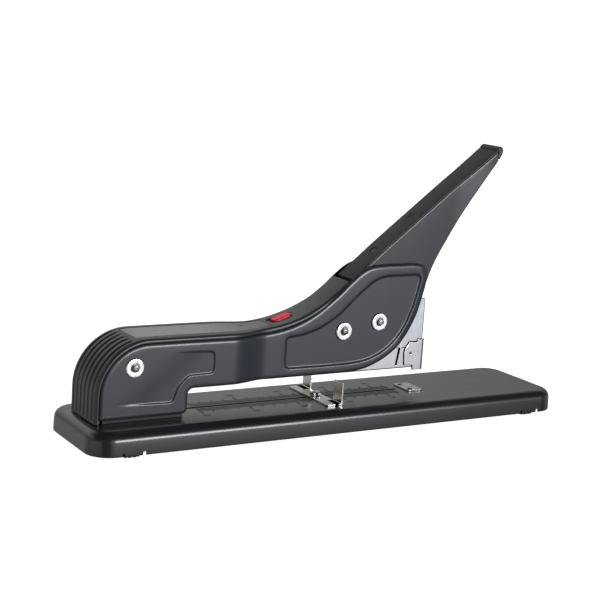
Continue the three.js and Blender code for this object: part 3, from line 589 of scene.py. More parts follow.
# ------------------------------------------------------------------ base tray
def tray():
    def outline(d, n=14):
        return round_rect(d, BASE_L - d, -BASE_W / 2 + d, BASE_W / 2 - d, max(3.0, 22.0 - d), n)

    ew, eh, t = 10.5, 7.8, 1.6
    rings = []
    # inner skin from the deck down to the lip
    rings.append([(x, y, BASE_H - t) for x, y in outline(ew + 1.5)])
    for i in range(0, 7):
        a = math.pi / 2 * (1 - i / 6)
        d = t + (ew - t + 0.6) * (1 - math.cos(a))
        z = BASE_H - t - (eh - t + 0.6) * (1 - math.sin(a))
        rings.append([(x, y, z) for x, y in outline(d)])
    # rounded lip
    for i in range(0, 7):
        a = math.pi * i / 6
        rings.append([(x, y, t / 2 - t / 2 * math.sin(a)) for x, y in outline(t / 2 + t / 2 * math.cos(a))])
    # skirt, bulging a little, then the wide rounded shoulder
    rings.append([(x, y, 2.6) for x, y in outline(0.0)])
    lean = 0.42
    for i in range(1, 7):
        u = i / 6
        rings.append([(x, y, 2.6 + (BASE_H - eh - 2.6) * u) for x, y in outline(lean * u * u)])
    for i in range(1, 15):
        a = math.pi / 2 * i / 14
        rings.append([(x, y, BASE_H - eh + eh * math.sin(a)) for x, y in outline(lean + 0.09 * eh * math.sin(a) * (1 - math.sin(a)) + (ew - lean) * (1 - math.cos(a)))])
    rings.append([(x, y, BASE_H) for x, y in outline(ew + 2.0)])
    V, Fc = flat(rings), loop_faces(rings)
    slot = tool(*prism(round_rect(98, 338, -2.2, 2.2, 2.19, 8), 12, 26, "z"))
    cuts = [slot]
    for x in (27.5, 46.5, 455.0, 474.0):
        for s in (-1, 1):
            yy = sorted((s * 51.0, s * 60.0))
            cuts.append(tool(*prism(round_rect(x - 1.7, x + 1.7, -3.0, 3.4, 1.2, 4), yy[0], yy[1], "y")))
    return make("tray", V, Fc, BASE_PAINT, "base", ("base_tray",), angle=28, cuts=cuts)


tray()


# ------------------------------------------------------------------ ruler on the deck
def ruler():
    z0, z1 = BASE_H + 0.01, BASE_H + 0.07
    boxes = []

    def bar(x0, x1, y0, y1):
        boxes.append(prism([(x0, y0), (x1, y0), (x1, y1), (x0, y1)], z0, z1, "z"))
    for side in (-1, 1):
        for i in range(0, 90):
            x = 118.9 + 2.5 * i
            if x > 334:
                break
            length = 8.6
            if i % 5 == 0:
                length = 12.0
            if i % 20 == 0:
                length = 15.8
            w = 0.46 if i % 5 else 0.52
            y0, y1 = sorted((side * 4.2, side * (4.2 + length)))
            bar(x - w, x + w, y0, y1)
        y0, y1 = sorted((side * 4.0, side * 4.45))
        bar(118.4, 333.0, y0, y1)
    V, Fc = merge(boxes)
    return make("ruler_ticks", V, Fc, PRINT, "base", (), angle=30, weighted=False)


ruler()


def numerals():
    """Plain numbers at the long ticks, in Blender's own font."""
    V, Fc = [], []
    for side in (-1, 1):
        for k, x in enumerate(range(0, 5)):
            xx = 118.9 + 50.0 * k
            if xx > 330:
                continue
            cu = bpy.data.curves.new("num", "FONT")
            cu.body = str(250 - 50 * k)
            cu.size = 5.2
            cu.align_x = "CENTER"
            cu.align_y = "CENTER"
            cu.extrude = 0.02
            ob = bpy.data.objects.new("num", cu)
            bpy.context.scene.collection.objects.link(ob)
            bpy.context.view_layer.update()
            me = bpy.data.meshes.new_from_object(ob.evaluated_get(bpy.context.evaluated_depsgraph_get()))
            o = len(V)
            for v in me.vertices:
                V.append((xx + v.co.x, side * 26.0 + v.co.y, BASE_H + 0.04 + v.co.z))
            Fc += [tuple(i + o for i in p.vertices) for p in me.polygons]
            bpy.data.objects.remove(ob)
            bpy.data.meshes.remove(me)
            bpy.data.curves.remove(cu)
    return make("ruler_numbers", V, Fc, PRINT, "base", (), angle=30, weighted=False)


numerals()


def slot_liner():
    """Black channel that closes the slot from below, clear of the guide's shoe."""
    O = [(-9.0, 15.6), (-9.0, 10.2), (9.0, 10.2), (9.0, 15.6), (8.2, 15.6), (8.2, 11.0), (-8.2, 11.0), (-8.2, 15.6)]
    V, Fc = prism(O, 90.0, 344.0, "x")
    make("slot_liner", V, Fc, BLACK, "base", (), angle=35, bevel=0.25, bevel_seg=2)


slot_liner()


# ------------------------------------------------------------------ arm cover
def cover_path():
    # the upper corner of the heel is a quarter circle; after that the cover follows the plates' upper edge
    P = [(11.0, 21.6), (11.0, 32.0)] + arc(61.0, 44.0, 50.0, 180, 90, 60)
    P += [(90, 94.0), (120, 93.9), (150, 93.7)]
    P += [tuple(p) for p in spline([(160, 93.7), (170, 93.9), (180, 94.6), (190, 95.9), (200, 97.9), (210, 100.6), (220, 104.0), (230, 108.5), (240, 113.8), (255, 124.4), (266.1, 133.25)], 1.0)]
    return resample(P, 1.6)


def cover():
    P = cover_path()
    T = np.gradient(P, axis=0)
    T /= np.linalg.norm(T, axis=1)[:, None]
    N = np.c_[-T[:, 1], T[:, 0]]
    s = np.r_[0, np.cumsum(np.linalg.norm(np.diff(P, axis=0), axis=1))]
    x = P[:, 0]
    hw = np.where(x < 200, half_width(x) + 0.45, 18.65 - 2.5 * sm((x - 205) / 46))
    grooves = np.array([-20.2, -12.12, -4.04, 4.04, 12.12, 20.2]) / 27.0
    gw = 1.55 / 27.0
    vs = set(np.linspace(-0.86, 0.86, 25).tolist()) | {0.62, 0.64, 0.652, 0.665, 0.678, 0.69, 0.71, -0.62, -0.64, -0.652, -0.665, -0.678, -0.69, -0.71}
    for g in grooves:
        vs = {v for v in vs if abs(v - g) > gw * 1.25}
        for k in (-1.15, -0.95, -0.7, -0.4, 0.0, 0.4, 0.7, 0.95, 1.15):
            vs.add(float(g + gw * k))
    vs = sorted(vs)
    # ribs: full depth on the heel, ended by the cross line
    s_end = s[np.argmin(np.abs(x - 47.0) + (P[:, 1] < 80) * 100)]
    amp = sm((s - 1.0) / 4.0) * (1 - sm((s - (s_end - 2.2)) / 1.8))
    line = np.exp(-((s - (s_end + 0.2)) / 0.75) ** 2) * 0.7
    seam = np.zeros_like(s)
    rings = []
    side_d, depth = 2.4, 3.7
    for i in range(len(P)):
        w = float(hw[i])
        ring = []

        def pt(y, d):
            q = P[i] - N[i] * d
            ring.append((q[0], y, q[1]))
        # across the top
        for v in vs:
            near = np.min(np.abs(grooves - v)) / gw
            g = max(0.0, math.cos(min(1.0, near) * math.pi / 2)) ** 0.8 if near < 1 else 0.0
            # recess along the smooth top
            top = float(sm((x[i] - 49) / 2.0) * (1 - sm((x[i] - 186) / 5.0))) if P[i][1] > 88 else 0.0
            rec = top * (0.45 * float(sm((0.66 - abs(v)) / 0.05)) + 0.65 * math.exp(-((abs(v) - 0.665) / 0.022) ** 2))
            pt(v * w * (27.0 / 27.45), 1.35 * g * float(amp[i]) + float(line[i]) * (1.0 if abs(v) < 0.84 else 0.5) + rec + 0.5 * v * v)
        # rounded shoulder and side band, then round underneath
        y0 = vs[-1] * w * (27.0 / 27.45)
        d0 = 0.5 * vs[-1] ** 2
        for k in range(1, 7):
            a = math.pi / 2 * k / 6
            pt(y0 + (w - y0) * math.sin(a), d0 + (side_d) * (1 - math.cos(a)))
        pt(w, depth - 0.25)
        pt(w - 0.25, depth)
        pt(w - 3.7, depth)
        pt(w - 3.9, depth + 2.6)
        pt(w - 5.2, depth + 2.6)
        pt(w - 5.4, 2.75)
        pt(-w + 5.4, 2.75)
        pt(-w + 5.2, depth + 2.6)
        pt(-w + 3.9, depth + 2.6)
        pt(-w + 3.7, depth)
        pt(-w + 0.25, depth)
        pt(-w, depth - 0.25)
        for k in range(6, 0, -1):
            a = math.pi / 2 * k / 6
            pt(-(y0 + (w - y0) * math.sin(a)), d0 + (side_d) * (1 - math.cos(a)))
        rings.append(ring)
    V, Fc = flat(rings), loop_faces(rings)
    # pocket for the release button, with a softly scooped surround
    sl = math.atan2(104.0 - 97.9, 20.0)

    def tilt(verts):
        out = []
        for a, y, c in verts:
            out.append((203.6 + a * math.cos(sl) - c * math.sin(sl), y, 99.0 + a * math.sin(sl) + c * math.cos(sl)))
        return out
    v1, f1 = prism(round_rect(-10.7, 10.8, -5.5, 5.5, 3.0, 8), -14, 14, "z")
    v2, f2 = prism(round_rect(-13.6, 13.6, -7.4, 7.4, 4.4, 10), -0.55, 14, "z", 0.5, 3)
    cuts = [tool(tilt(v2), f2), tool(tilt(v1), f1)]
    # small direction mark on the smooth top, just behind the button
    v3, f3 = prism([(161.5, -3.0), (167.5, 0.0), (161.5, 3.0), (163.2, 0.0)], 92.9, 97, "z")
    cuts.append(tool(v3, f3))
    return make("cover", V, Fc, COVER_PLASTIC, "arm", ("arm_cover",), angle=38, cuts=cuts)


cover()


def cover_panel():
    """Smooth satin panel lying in the cover's recess, with a plain direction mark cut in it. Its colour is painted
    lighter towards the rear and darker towards the front, a painted reflection of the light from above.
    """
    m, nt, b = new_mat("panel_painted_sheen")
    co = nt.nodes.new("ShaderNodeTexCoord")
    sep = nt.nodes.new("ShaderNodeSeparateXYZ")
    nt.links.new(co.outputs["Object"], sep.inputs["Vector"])
    # painted reflection: base colour ramps from light at the panel's rear end to dark towards its front
    painted_sheen_along = ramp(nt, sep.outputs["X"], F((118, 0, 0))[0], F((176, 0, 0))[0], 0.0, 1.0)
    nt.links.new(mix_col(nt, painted_sheen_along, (0.27, 0.28, 0.275), (0.085, 0.088, 0.087)), b.inputs["Base Color"])
    g = noise(nt, 1300.0, 2.0, 0.6)
    big = noise(nt, 60.0, 5.0, 0.6)
    nt.links.new(ramp(nt, big, 0.3, 0.7, 0.26, 0.36), b.inputs["Roughness"])
    nt.links.new(bump(nt, g, 0.12, 0.0001), b.inputs["Normal"])
    P = cover_path()
    T = np.gradient(P, axis=0)
    T /= np.linalg.norm(T, axis=1)[:, None]
    N = np.c_[-T[:, 1], T[:, 0]]
    rings = []
    for i in range(len(P)):
        if not (50.6 < P[i][0] < 186.0 and P[i][1] > 88):
            continue
        w = 0.635 * float(half_width(P[i][0])) * (1 - 0.10 * float(sm((P[i][0] - 178) / 8)))
        ring = []
        for v in np.linspace(-1, 1, 13):
            d = 0.22 + 0.5 * (0.62 * v) ** 2 + (0.12 if abs(v) > 0.99 else 0.0)
            q = P[i] - N[i] * d
            ring.append((q[0], v * w, q[1]))
        for v in np.linspace(1, -1, 13):
            d = 0.62 + 0.5 * (0.62 * v) ** 2
            q = P[i] - N[i] * d
            ring.append((q[0], v * w, q[1]))
        rings.append(ring)
    v3, f3 = prism([(158.0, -3.4), (166.5, 0.0), (158.0, 3.4), (160.6, 0.0)], 92.6, 97, "z")
    make("cover_panel", flat(rings), loop_faces(rings), m, "arm", (), angle=38, cuts=[tool(v3, f3)])


cover_panel()


def button():
    sl = math.atan2(104.0 - 97.9, 20.0)
    rings = []
    O = np.array(round_rect(-9.5, 9.5, -4.9, 4.9, 3.9, 9))
    prof = [(0.0, -3.4), (0.0, 0.35)] + [(1.3 * (1 - math.cos(math.pi / 2 * i / 6)), 0.35 + 1.0 * math.sin(math.pi / 2 * i / 6)) for i in range(1, 7)]
    for d, h in prof:
        rings.append([(p[0], p[1], h) for p in inset(O, d)])
    for d, h in ((2.2, 1.44), (3.2, 1.48)):
        rings.append([(p[0], p[1], h) for p in inset(O, d)])
    V = [(203.6 + a * math.cos(sl) - c * math.sin(sl), y, 99.0 + a * math.sin(sl) + c * math.cos(sl)) for a, y, c in flat(rings)]
    stem = tool(*prism(round_rect(202.0, 205.2, -1.6, 1.6, 0.5, 3), 73.9, 97.5, "z"))
    return make("button", V, loop_faces(rings), RED, "button", ("release_button",), angle=40, joins=[stem])


button()


# ------------------------------------------------------------------ pins and discs
def pins():
    for name, (x, z), hw, base in (("rear_pivot", REAR_PIVOT, REAR_HW, 0.45), ("tie", TIE, FRONT_HW, 1.45), ("handle_pivot", HANDLE_PIVOT, FRONT_HW, 1.45)):
        seat = hw - base
        prof = [(-seat - 4.4, 1.5), (-seat - 4.4, 2.3), (-seat - 4.15, 2.75), (-seat - 3.8, 2.95), (-seat - 1.4, 3.0), (-seat - 1.4, 3.9), (-seat + 0.2, 4.0),
                (seat - 0.2, 4.0), (seat + 1.4, 3.9), (seat + 1.4, 3.0), (seat + 3.8, 2.95), (seat + 4.15, 2.75), (seat + 4.4, 2.3), (seat + 4.4, 1.5)]
        prof = [(-seat - 3.9, 0.02), (-seat - 3.95, 1.1)] + prof + [(seat + 3.95, 1.1), (seat + 3.9, 0.02)]
        V, Fc = lathe(prof, "y", (x, z), 40)
        make(name + "_stud", V, Fc, STUD_STEEL, "arm", (name + "_pin",), angle=35)
        for side, s in (("right", -1), ("left", 1)):
            a, b = seat + 0.15, seat + 1.95
            prof = [(a, 4.0), (a, 8.3), (a + 0.3, 8.62), (a + 0.8, 8.75), (b - 0.9, 8.72), (b - 0.4, 8.45), (b - 0.1, 8.0), (b, 7.3), (b - 0.02, 4.6), (b - 0.25, 4.1)]
            prof = [(s * h, r) for h, r in prof]
            n = 72
            rings = []
            for h, r in prof:
                rings.append([(x + r * math.cos(2 * math.pi * k / n), h, z + r * math.sin(2 * math.pi * k / n)) for k in range(n)])
            Fc = loop_faces(rings, cap0=False, cap1=False)
            m = len(rings)
            Fc += [((m - 1) * n + k, (m - 1) * n + (k + 1) % n, (k + 1) % n, k) for k in range(n)]
            make(name + "_disc_" + side, flat(rings), Fc, DISC_CHROME, "arm", (("rear_pivot" if name == "rear_pivot" else name) + "_washer_" + side,), angle=40)


pins()


# ------------------------------------------------------------------ handle
H_TOP = spline([(271.0, 134.9), (280, 142.3), (290, 150.8), (300, 159.2), (320, 175.0), (340, 190.4), (360, 205.9), (380, 221.3), (400, 235.9), (415, 247.0), (427.0, 256.3)], 0.8)
H_LOW_X = [271.0, 276.0, 283.0, 288.0, 294.0, 301.0, 308.0, 320.0, 336.0, 346.0, 350.5, 355.6, 359.6, 363.8, 376.6, 389.7, 409.7, 420.0, 430.9]
H_LOW_Z = [127.0, 117.0, 103.0, 93.0, 83.6, 81.2, 80.6, 82.5, 92.0, 104.0, 115.0, 128.0, 139.4, 148.5, 170.6, 191.4, 219.7, 233.6, 247.9]
H_LOW = spline(list(zip(H_LOW_X, H_LOW_Z)), 0.5)


def top_z(x):
    return np.interp(x, H_TOP[:, 0], H_TOP[:, 1])


def low_z(x):
    return np.interp(x, H_LOW[:, 0], H_LOW[:, 1])


def handle_hw(x):
    x = np.asarray(x, float)
    return 13.0 + 1.7 * (1 - sm((x - 272) / 24)) + 1.5 * sm((x - 380) / 46)


def handle():
    xs = np.r_[np.arange(271.6, 300, 1.4), np.arange(300, 420, 3.0), np.arange(420, 428.0, 1.0), 428.6]
    rings = []
    t = 1.6
    for x in xs:
        zt = float(top_z(x)) - 2.15
        zl = float(low_z(x))
        hw = float(handle_hw(x))
        zl = min(zl, zt - 4.0)
        ring = []
        m = 7
        rc = 2.3
        for k in range(m):
            ring.append((x, -hw, zl + (zt - rc - zl) * k / (m - 1)))
        for k in range(1, 6):
            a = math.pi / 2 * k / 5
            ring.append((x, -hw + rc * (1 - math.cos(a)), zt - rc + rc * math.sin(a)))
        for k in range(1, 6):
            ring.append((x, (-hw + rc) * (1 - k / 6) + (hw - rc) * k / 6, zt))
        for k in range(0, 6):
            a = math.pi / 2 * (1 - k / 5)
            ring.append((x, hw - rc * (1 - math.cos(a)), zt - rc + rc * math.sin(a)))
        for k in range(1, m):
            ring.append((x, hw, zt - rc + (zl - zt + rc) * k / (m - 1)))
        # inner face
        for k in range(m):
            ring.append((x, hw - t, zl + (zt - t - 1.2 - zl) * k / (m - 1)))
        ring.append((x, hw - t - 1.2, zt - t))
        ring.append((x, -hw + t + 1.2, zt - t))
        for k in range(m - 1, -1, -1):
            ring.append((x, -hw + t, zl + (zt - t - 1.2 - zl) * k / (m - 1)))
        rings.append(ring)
    V, Fc = flat(rings), loop_faces(rings)
    bore = tool(*lathe([(-40, 5.8), (40, 5.8)], "y", HANDLE_PIVOT, 40))
    return make("handle_steel", V, Fc, HANDLE_PAINT, "handle", ("handle_channel",), angle=35, bevel=0.35, bevel_seg=2, bevel_angle=55, cuts=[bore])


handle()


def handle_cover():
    P = resample(H_TOP, 1.6)
    T = np.gradient(P, axis=0)
    T /= np.linalg.norm(T, axis=1)[:, None]
    N = np.c_[-T[:, 1], T[:, 0]]
    rings = []
    n = len(P)
    for i in range(n):
        w = float(handle_hw(P[i][0])) - 0.15
        e = 0.0
        ends = min(i, n - 1 - i)
        if ends < 1:
            e = 0.35
        ring = []

        def pt(y, d):
            q = P[i] - N[i] * d
            ring.append((q[0], y, q[1]))
        r = 1.15
        for k in range(0, 13):
            v = -1 + 2 * k / 12
            pt(v * (w - r), 0.35 * v * v + e)
        for k in range(1, 6):
            a = math.pi / 2 * k / 5
            pt(w - r + r * math.sin(a) - e * 0.5, 0.35 + e + (r - e) * (1 - math.cos(a)))
        pt(w - e * 0.5, 1.85)
        pt(w - 0.6, 1.9)
        pt(-w + 0.6, 1.9)
        pt(-w + e * 0.5, 1.85)
        for k in range(5, 0, -1):
            a = math.pi / 2 * k / 5
            pt(-(w - r + r * math.sin(a) - e * 0.5), 0.35 + e + (r - e) * (1 - math.cos(a)))
        rings.append(ring)
    V, Fc = flat(rings), loop_faces(rings)
    sl = math.atan2(190.4 - 159.2, 40.0)
    cuts = []
    for x, z in ((300.5, 159.6), (340.6, 190.9)):
        v, f = lathe([(-10, 3.4), (0.4, 3.4), (1.5, 4.2), (10, 4.2)], "z", (0, 0), 36)
        v = [(x + a * math.cos(sl) - (c - 0.9) * math.sin(sl), y, z + a * math.sin(sl) + (c - 0.9) * math.cos(sl)) for a, y, c in v]
        cuts.append(tool(v, f))
    ob = make("handle_top", V, Fc, GRIP_PLASTIC, "handle", ("handle_cover",), angle=38, cuts=cuts)
    for i, (x, z) in enumerate(((300.5, 159.6), (340.6, 190.9))):
        prof = [(-1.8, 0.05), (-1.8, 3.0), (-0.9, 3.0), (-0.55, 2.7), (-0.45, 2.2), (-0.45, 0.05)]
        v, f = lathe(prof, "z", (0, 0), 32)
        cv1, cf1 = prism([(-2.0, -0.38), (2.0, -0.38), (2.0, 0.38), (-2.0, 0.38)], -1.1, 1.0, "z")
        cv2, cf2 = prism([(-0.38, -2.0), (0.38, -2.0), (0.38, 2.0), (-0.38, 2.0)], -1.1, 1.0, "z")

        def tl(vv):
            return [(x + a * math.cos(sl) - c * math.sin(sl), y, z + a * math.sin(sl) + c * math.cos(sl)) for a, y, c in vv]
        make("grip_screw_%d" % (i + 1), tl(v), f, DARK_STEEL, "handle", ("cover_screw_%d" % (i + 1),), angle=35, cuts=[tool(tl(cv1), cf1), tool(tl(cv2), cf2)])
    return ob


handle_cover()


def end_cap():
    O = resample([(426.6, 256.3), (429.9, 259.0), (432.2, 259.2), (433.9, 257.6), (434.4, 255.0), (433.8, 252.0), (430.9, 246.9), (429.1, 247.3), (429.3, 251.5), (428.9, 254.4)], 0.9, closed=True)
    V, Fc = prism(O, -14.2, 14.2, "y", 0.9, 4)
    return make("handle_end_cap", V, Fc, GRIP_PLASTIC, "handle", ("grip_end_cap",), angle=45)


end_cap()


# ------------------------------------------------------------------ driver head, nose and magazine
def u_outline(x0, x1, hw, t, r, n=5):
    """A U in (x, y), open towards -X, with rounded front corners."""
    out = [(x0, -hw)] + arc(x1 - r, -hw + r, r, -90, 0, n) + arc(x1 - r, hw - r, r, 0, 90, n) + [(x0, hw), (x0, hw - t)]
    ri = max(0.3, r - t)
    out += arc(x1 - t - ri, hw - t - ri, ri, 90, 0, n) + arc(x1 - t - ri, -hw + t + ri, ri, 0, -90, n) + [(x0, -hw + t)]
    return out


def head():
    V, Fc = prism(u_outline(321.0, 360.0, 9.5, 1.3, 1.9), 64.4, 111.5, "z")
    cuts = [tool(*prism([(352.9, 60), (365, 60), (365, 72.2), (352.9, 72.2)], -30, 30, "y")),
            tool(*prism([(337.0, 60), (353.0, 60), (353.0, 69.9), (343.0, 69.9), (342.4, 68.4), (338.6, 64.0), (337.0, 62)], -30, 30, "y")),
            tool(*prism([(310, 114), (310, 96), (335, 99), (341, 101), (350, 112), (350, 114)], -30, 30, "y"))]
    make("head", V, Fc, HEAD_CHROME, "arm", ("head_housing",), angle=35, bevel=0.35, bevel_seg=2, cuts=cuts)
    # nose piece
    hw = 9.85
    V, Fc = prism(u_outline(336.0, 360.0, hw + 1.2, 1.2, 2.2), 40.0, 73.0, "z")
    cheek = [(339.2, 47.2), (348.8, 46.6), (349.2, 42.0), (360.2, 42.0), (360.2, 71.6), (353.2, 71.6), (353.2, 69.2), (342.9, 69.2), (342.7, 67.8), (339.2, 63.6), (338.2, 59.9)]
    keep = tool(*prism(cheek, -20, 20, "y"))
    holes = [tool(*lathe([(-20, 1.25), (-5, 1.25)], "y", (345.4, 58.6), 24)), tool(*lathe([(5, 1.25), (20, 1.25)], "y", (345.4, 58.6), 24))]
    make("nose", V, Fc, CHROME, "drawer", ("nose_piece",), angle=35, bevel=0.3, bevel_seg=2, cuts=holes, keep=[keep])
    # black strip around the cheeks, between them and the magazine: painted shade standing for the shadow in the gap
    sides = []
    # painted shade: outline of the black strip that stands for the shadow in the gap
    joint = inset(cheek, -0.55)
    for k in (-1, 1):
        a, b = sorted((k * (hw - 0.25), k * (hw - 0.03)))
        sides.append(prism(joint, a, b, "y"))
    V, Fc = merge(sides)
    make("nose_gap_shade", V, Fc, BLACK, "drawer", (), angle=35, weighted=False)
    # small rivets standing in the nose's holes
    parts = [lathe([(s * (hw - 0.9), 0.02), (s * (hw - 0.9), 1.0), (s * (hw + 0.75), 1.0), (s * (hw + 0.95), 0.75), (s * (hw + 1.0), 0.02)], "y", (345.4, 58.6), 20) for s in (-1, 1)]
    V, Fc = merge(parts)
    make("nose_rivets", V, Fc, DARK_STEEL, "drawer", (), angle=35)
    # magazine: a U of bright sheet in (y, z)
    b, t, top, mw = 43.9, 1.2, 64.0, 9.5
    O = [(-mw, top)] + arc(-mw + 1.4, b + 1.4, 1.4, 180, 270, 5) + arc(mw - 1.4, b + 1.4, 1.4, 270, 360, 5) + [(mw, top), (mw - t, top)]
    O += arc(mw - t - 0.4, b + t + 0.4, 0.4, 0, -90, 3) + arc(-mw + t + 0.4, b + t + 0.4, 0.4, 270, 180, 3) + [(-mw + t, top)]
    V, Fc = prism(O, 184.0, 351.5, "x")
    cuts = [tool(*prism([(328.9, 47.0), (331.2, 47.0), (334.6, 66), (331.9, 66)], -30, 30, "y")),
            tool(*prism([(346, -7), (362, -7), (362, 7), (346, 7)], 40, 47, "z"))]
    make("magazine", V, Fc, CHROME, "arm", ("magazine_channel",), angle=35, bevel=0.25, bevel_seg=2, cuts=cuts)


head()


# ------------------------------------------------------------------ anvil, guide, feet
def anvil():
    V, Fc = prism(round_rect(344.5, 361.5, -13, 13, 1.8, 5), BASE_H + 0.1, 22.3, "z", 0.35, 3)
    cuts = []
    for s in (-1, 1):
        a, b = sorted((s * 0.9, s * 7.4))
        v, f = lathe([(a, 1.15), (b, 1.15)], "y", (356.5, 22.75), 24)
        cuts.append(tool(v, f))
    make("anvil_plate", V, Fc, ANVIL_STEEL, "base", ("anvil",), angle=35, cuts=cuts)
    for i, y in enumerate((-8.5, 8.5)):
        prof = [(11.5, 0.05), (11.5, 1.4), (22.3, 1.4), (22.35, 2.35), (22.7, 2.5), (23.1, 2.2), (23.35, 1.6), (23.4, 0.05)]
        V, Fc = lathe(prof, "z", (349.1, y), 32)
        slot = tool(*prism([(345.9, y - 0.35), (352.3, y - 0.35), (352.3, y + 0.35), (345.9, y + 0.35)], 22.9, 25, "z"))
        make("anvil_bolt_%d" % (i + 1), V, Fc, STEEL, "base", ("anvil_screw_%d" % (i + 1),), angle=35, cuts=[slot])


anvil()


def guide():
    z0, t = BASE_H + 0.3, 1.3
    x0, x1 = 238.0, 255.0
    foot = prism(round_rect(x0, x1 - 1.5, -35, 35, 2.2, 6), z0, z0 + t, "z")
    ob_tools = []
    for s in (-1, 1):
        # L section in (x, z) with a rounded bend, extruded along y
        O = [(x1 - 8, z0), (x1 - 1.8, z0)] + arc(x1 - 1.9, z0 + 1.9, 1.9, -90, 0, 6) + [(x1, z0 + 20.4)] + [(x1 - 0.3, z0 + 21.0), (x1 - t + 0.3, z0 + 21.0), (x1 - t, z0 + 20.4)]
        O += arc(x1 - t - 0.6, z0 + t + 0.6, 0.6, 0, -90, 4) + [(x1 - 8, z0 + t)]
        a, b = sorted((s * 20.5, s * 35.0))
        ob_tools.append(tool(*prism(O, a, b, "y")))
    hole = tool(*lathe([(z0 - 4, 2.0), (z0 + 6, 2.0)], "z", (246.5, 0), 24))
    make("guide_plate", foot[0], foot[1], GUIDE_NICKEL, "guide", ("paper_guide",), angle=35, bevel=0.2, bevel_seg=2, joins=ob_tools, cuts=[hole])
    # knurled clamp screw
    zt = z0 + t + 0.3
    n = 60
    rings = []
    for h, r, k in ((zt, 4.6, 0), (zt + 0.3, 5.15, 1), (zt + 2.6, 5.15, 1), (zt + 3.1, 4.7, 0), (zt + 3.3, 4.1, 0), (zt + 3.3, 1.2, 0), (zt + 2.7, 0.9, 0), (zt + 2.7, 0.02, 0)):
        rings.append([(246.5 + (r + (0.28 if (i % 2 and k) else 0.0)) * math.cos(2 * math.pi * i / n), (r + (0.28 if (i % 2 and k) else 0.0)) * math.sin(2 * math.pi * i / n), h) for i in range(n)])
    shank = [[(246.5 + 1.6 * math.cos(2 * math.pi * i / n), 1.6 * math.sin(2 * math.pi * i / n), h) for i in range(n)] for h in (12.4, zt)]
    V, Fc = flat(shank + rings), loop_faces(shank + rings)
    make("guide_knob", V, Fc, STEEL, "guide", ("guide_screw",), angle=30)


guide()


def feet():
    for name, x, y in (("foot_rear_right", 37, -41.5), ("foot_rear_left", 37, 41.5), ("foot_front_right", 464.5, -41.5), ("foot_front_left", 464.5, 41.5)):
        V, Fc = prism(round_rect(x - 7.7, x + 7.7, y - 9.4, y + 9.4, 3.6, 7), -2.5, 12.0, "z", 0.9, 4)
        cuts = []
        for k in (-1, 0, 1):
            cuts.append(tool(*prism(round_rect(x - 0.9 + 4.4 * k, x + 0.9 + 4.4 * k, y - 12, y + 12, 0.3, 2), -4.0, -1.6, "z")))
        make(name + "_pad", V, Fc, RUBBER, "base", (name,), angle=40, cuts=cuts)


feet()


# ------------------------------------------------------------------ springs
def coil(name, material, body, node, radius, wire, turns, start, height, axis, joint=None, per=20, seg=10):
    n = int(turns * per)
    path = []
    for i in range(n + 1):
        a = 2 * math.pi * i / per
        f = i / n
        lift = sm((f * turns - 0.6) / 1.0) * 0 + f
        path.append((radius * math.cos(a), radius * math.sin(a), height * lift))
    path = np.array(path)
    T = np.gradient(path, axis=0)
    T /= np.linalg.norm(T, axis=1)[:, None]
    rings = []
    for i in range(n + 1):
        rad = np.array([path[i][0], path[i][1], 0.0])
        rad /= np.linalg.norm(rad)
        b = np.cross(T[i], rad)
        ring = []
        for k in range(seg):
            a = 2 * math.pi * k / seg
            q = path[i] + (rad * math.cos(a) + b * math.sin(a)) * wire / 2
            if axis == "z":
                ring.append((start[0] + q[0], start[1] + q[1], start[2] + q[2]))
            elif axis == "x":
                ring.append((start[0] + q[2], start[1] + q[1], start[2] - q[0]))
            else:
                ring.append((start[0] + q[0], start[1] - q[2], start[2] + q[1]))
        rings.append(ring)
    ob = make(name, flat(rings), loop_faces(rings), material, body, (node,), angle=60)
    if joint:
        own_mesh(ob)
    return ob


lift = coil("lift_coil", SPRING, None, "lift_spring", 5.6, 1.7, 5.5, (82.5, 0, BASE_H + 4.15), 24.2, "z")
finish_mesh(lift, 60)
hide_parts("lift_spring")
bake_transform(lift)
coil("button_coil", SPRING, "arm", "button_spring", 3.1, 0.8, 4.0, (203.6, 0, 86.35), 7.0, "z", "button_press")
coil("follower_coil", SPRING, "drawer", "follower_spring", 2.3, 0.6, 22.0, (198.8, 0, 52.8), 127.2, "x", "follower_slide", per=14, seg=8)
coil("return_coil", SPRING, "arm", "handle_spring", 7.4, 1.5, 4.2, (HANDLE_PIVOT[0], 4.2, HANDLE_PIVOT[1]), 8.4, "y")

# ------------------------------------------------------------------ materials of the CAD nodes that stay
STAY = {
    "stiffener_bar": BLACK, "riser_bracket": BLACK, "riser_bolt_1": STEEL, "riser_bolt_2": STEEL, "riser_bolt_3": STEEL, "riser_bolt_4": STEEL,
    "tie_sleeve": STEEL, "handle_bush": STEEL, "spring_seat": DARK_STEEL, "magazine_carrier": DARK_STEEL, "latch_pin": STEEL, "button_spring_seat": DARK_STEEL,
    "driver_lever": STEEL, "lever_pin": STEEL, "hammer_block": STEEL, "driver_blade": STEEL, "staple_rail": STEEL, "pusher_rod": STEEL, "follower": BLACK,
    "release_latch": DARK_STEEL, "guide_shoe": STEEL,
}
for node, material in STAY.items():
    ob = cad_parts[node]
    ob.data.materials.clear()
    ob.data.materials.append(material)

# ------------------------------------------------------------------ stage, light and camera
def stage_piece(name, verts, faces, material, cast_light):
    me = bpy.data.meshes.new(name)
    me.from_pydata(verts, [], faces)
    for p in me.polygons:
        p.use_smooth = True
    ob = bpy.data.objects.new(name, me)
    bpy.context.scene.collection.objects.link(ob)
    me.materials.append(material)
    ob.visible_diffuse = ob.visible_glossy = cast_light
    ob.visible_transmission = ob.visible_volume_scatter = cast_light
    ob.visible_shadow = False
    return ob


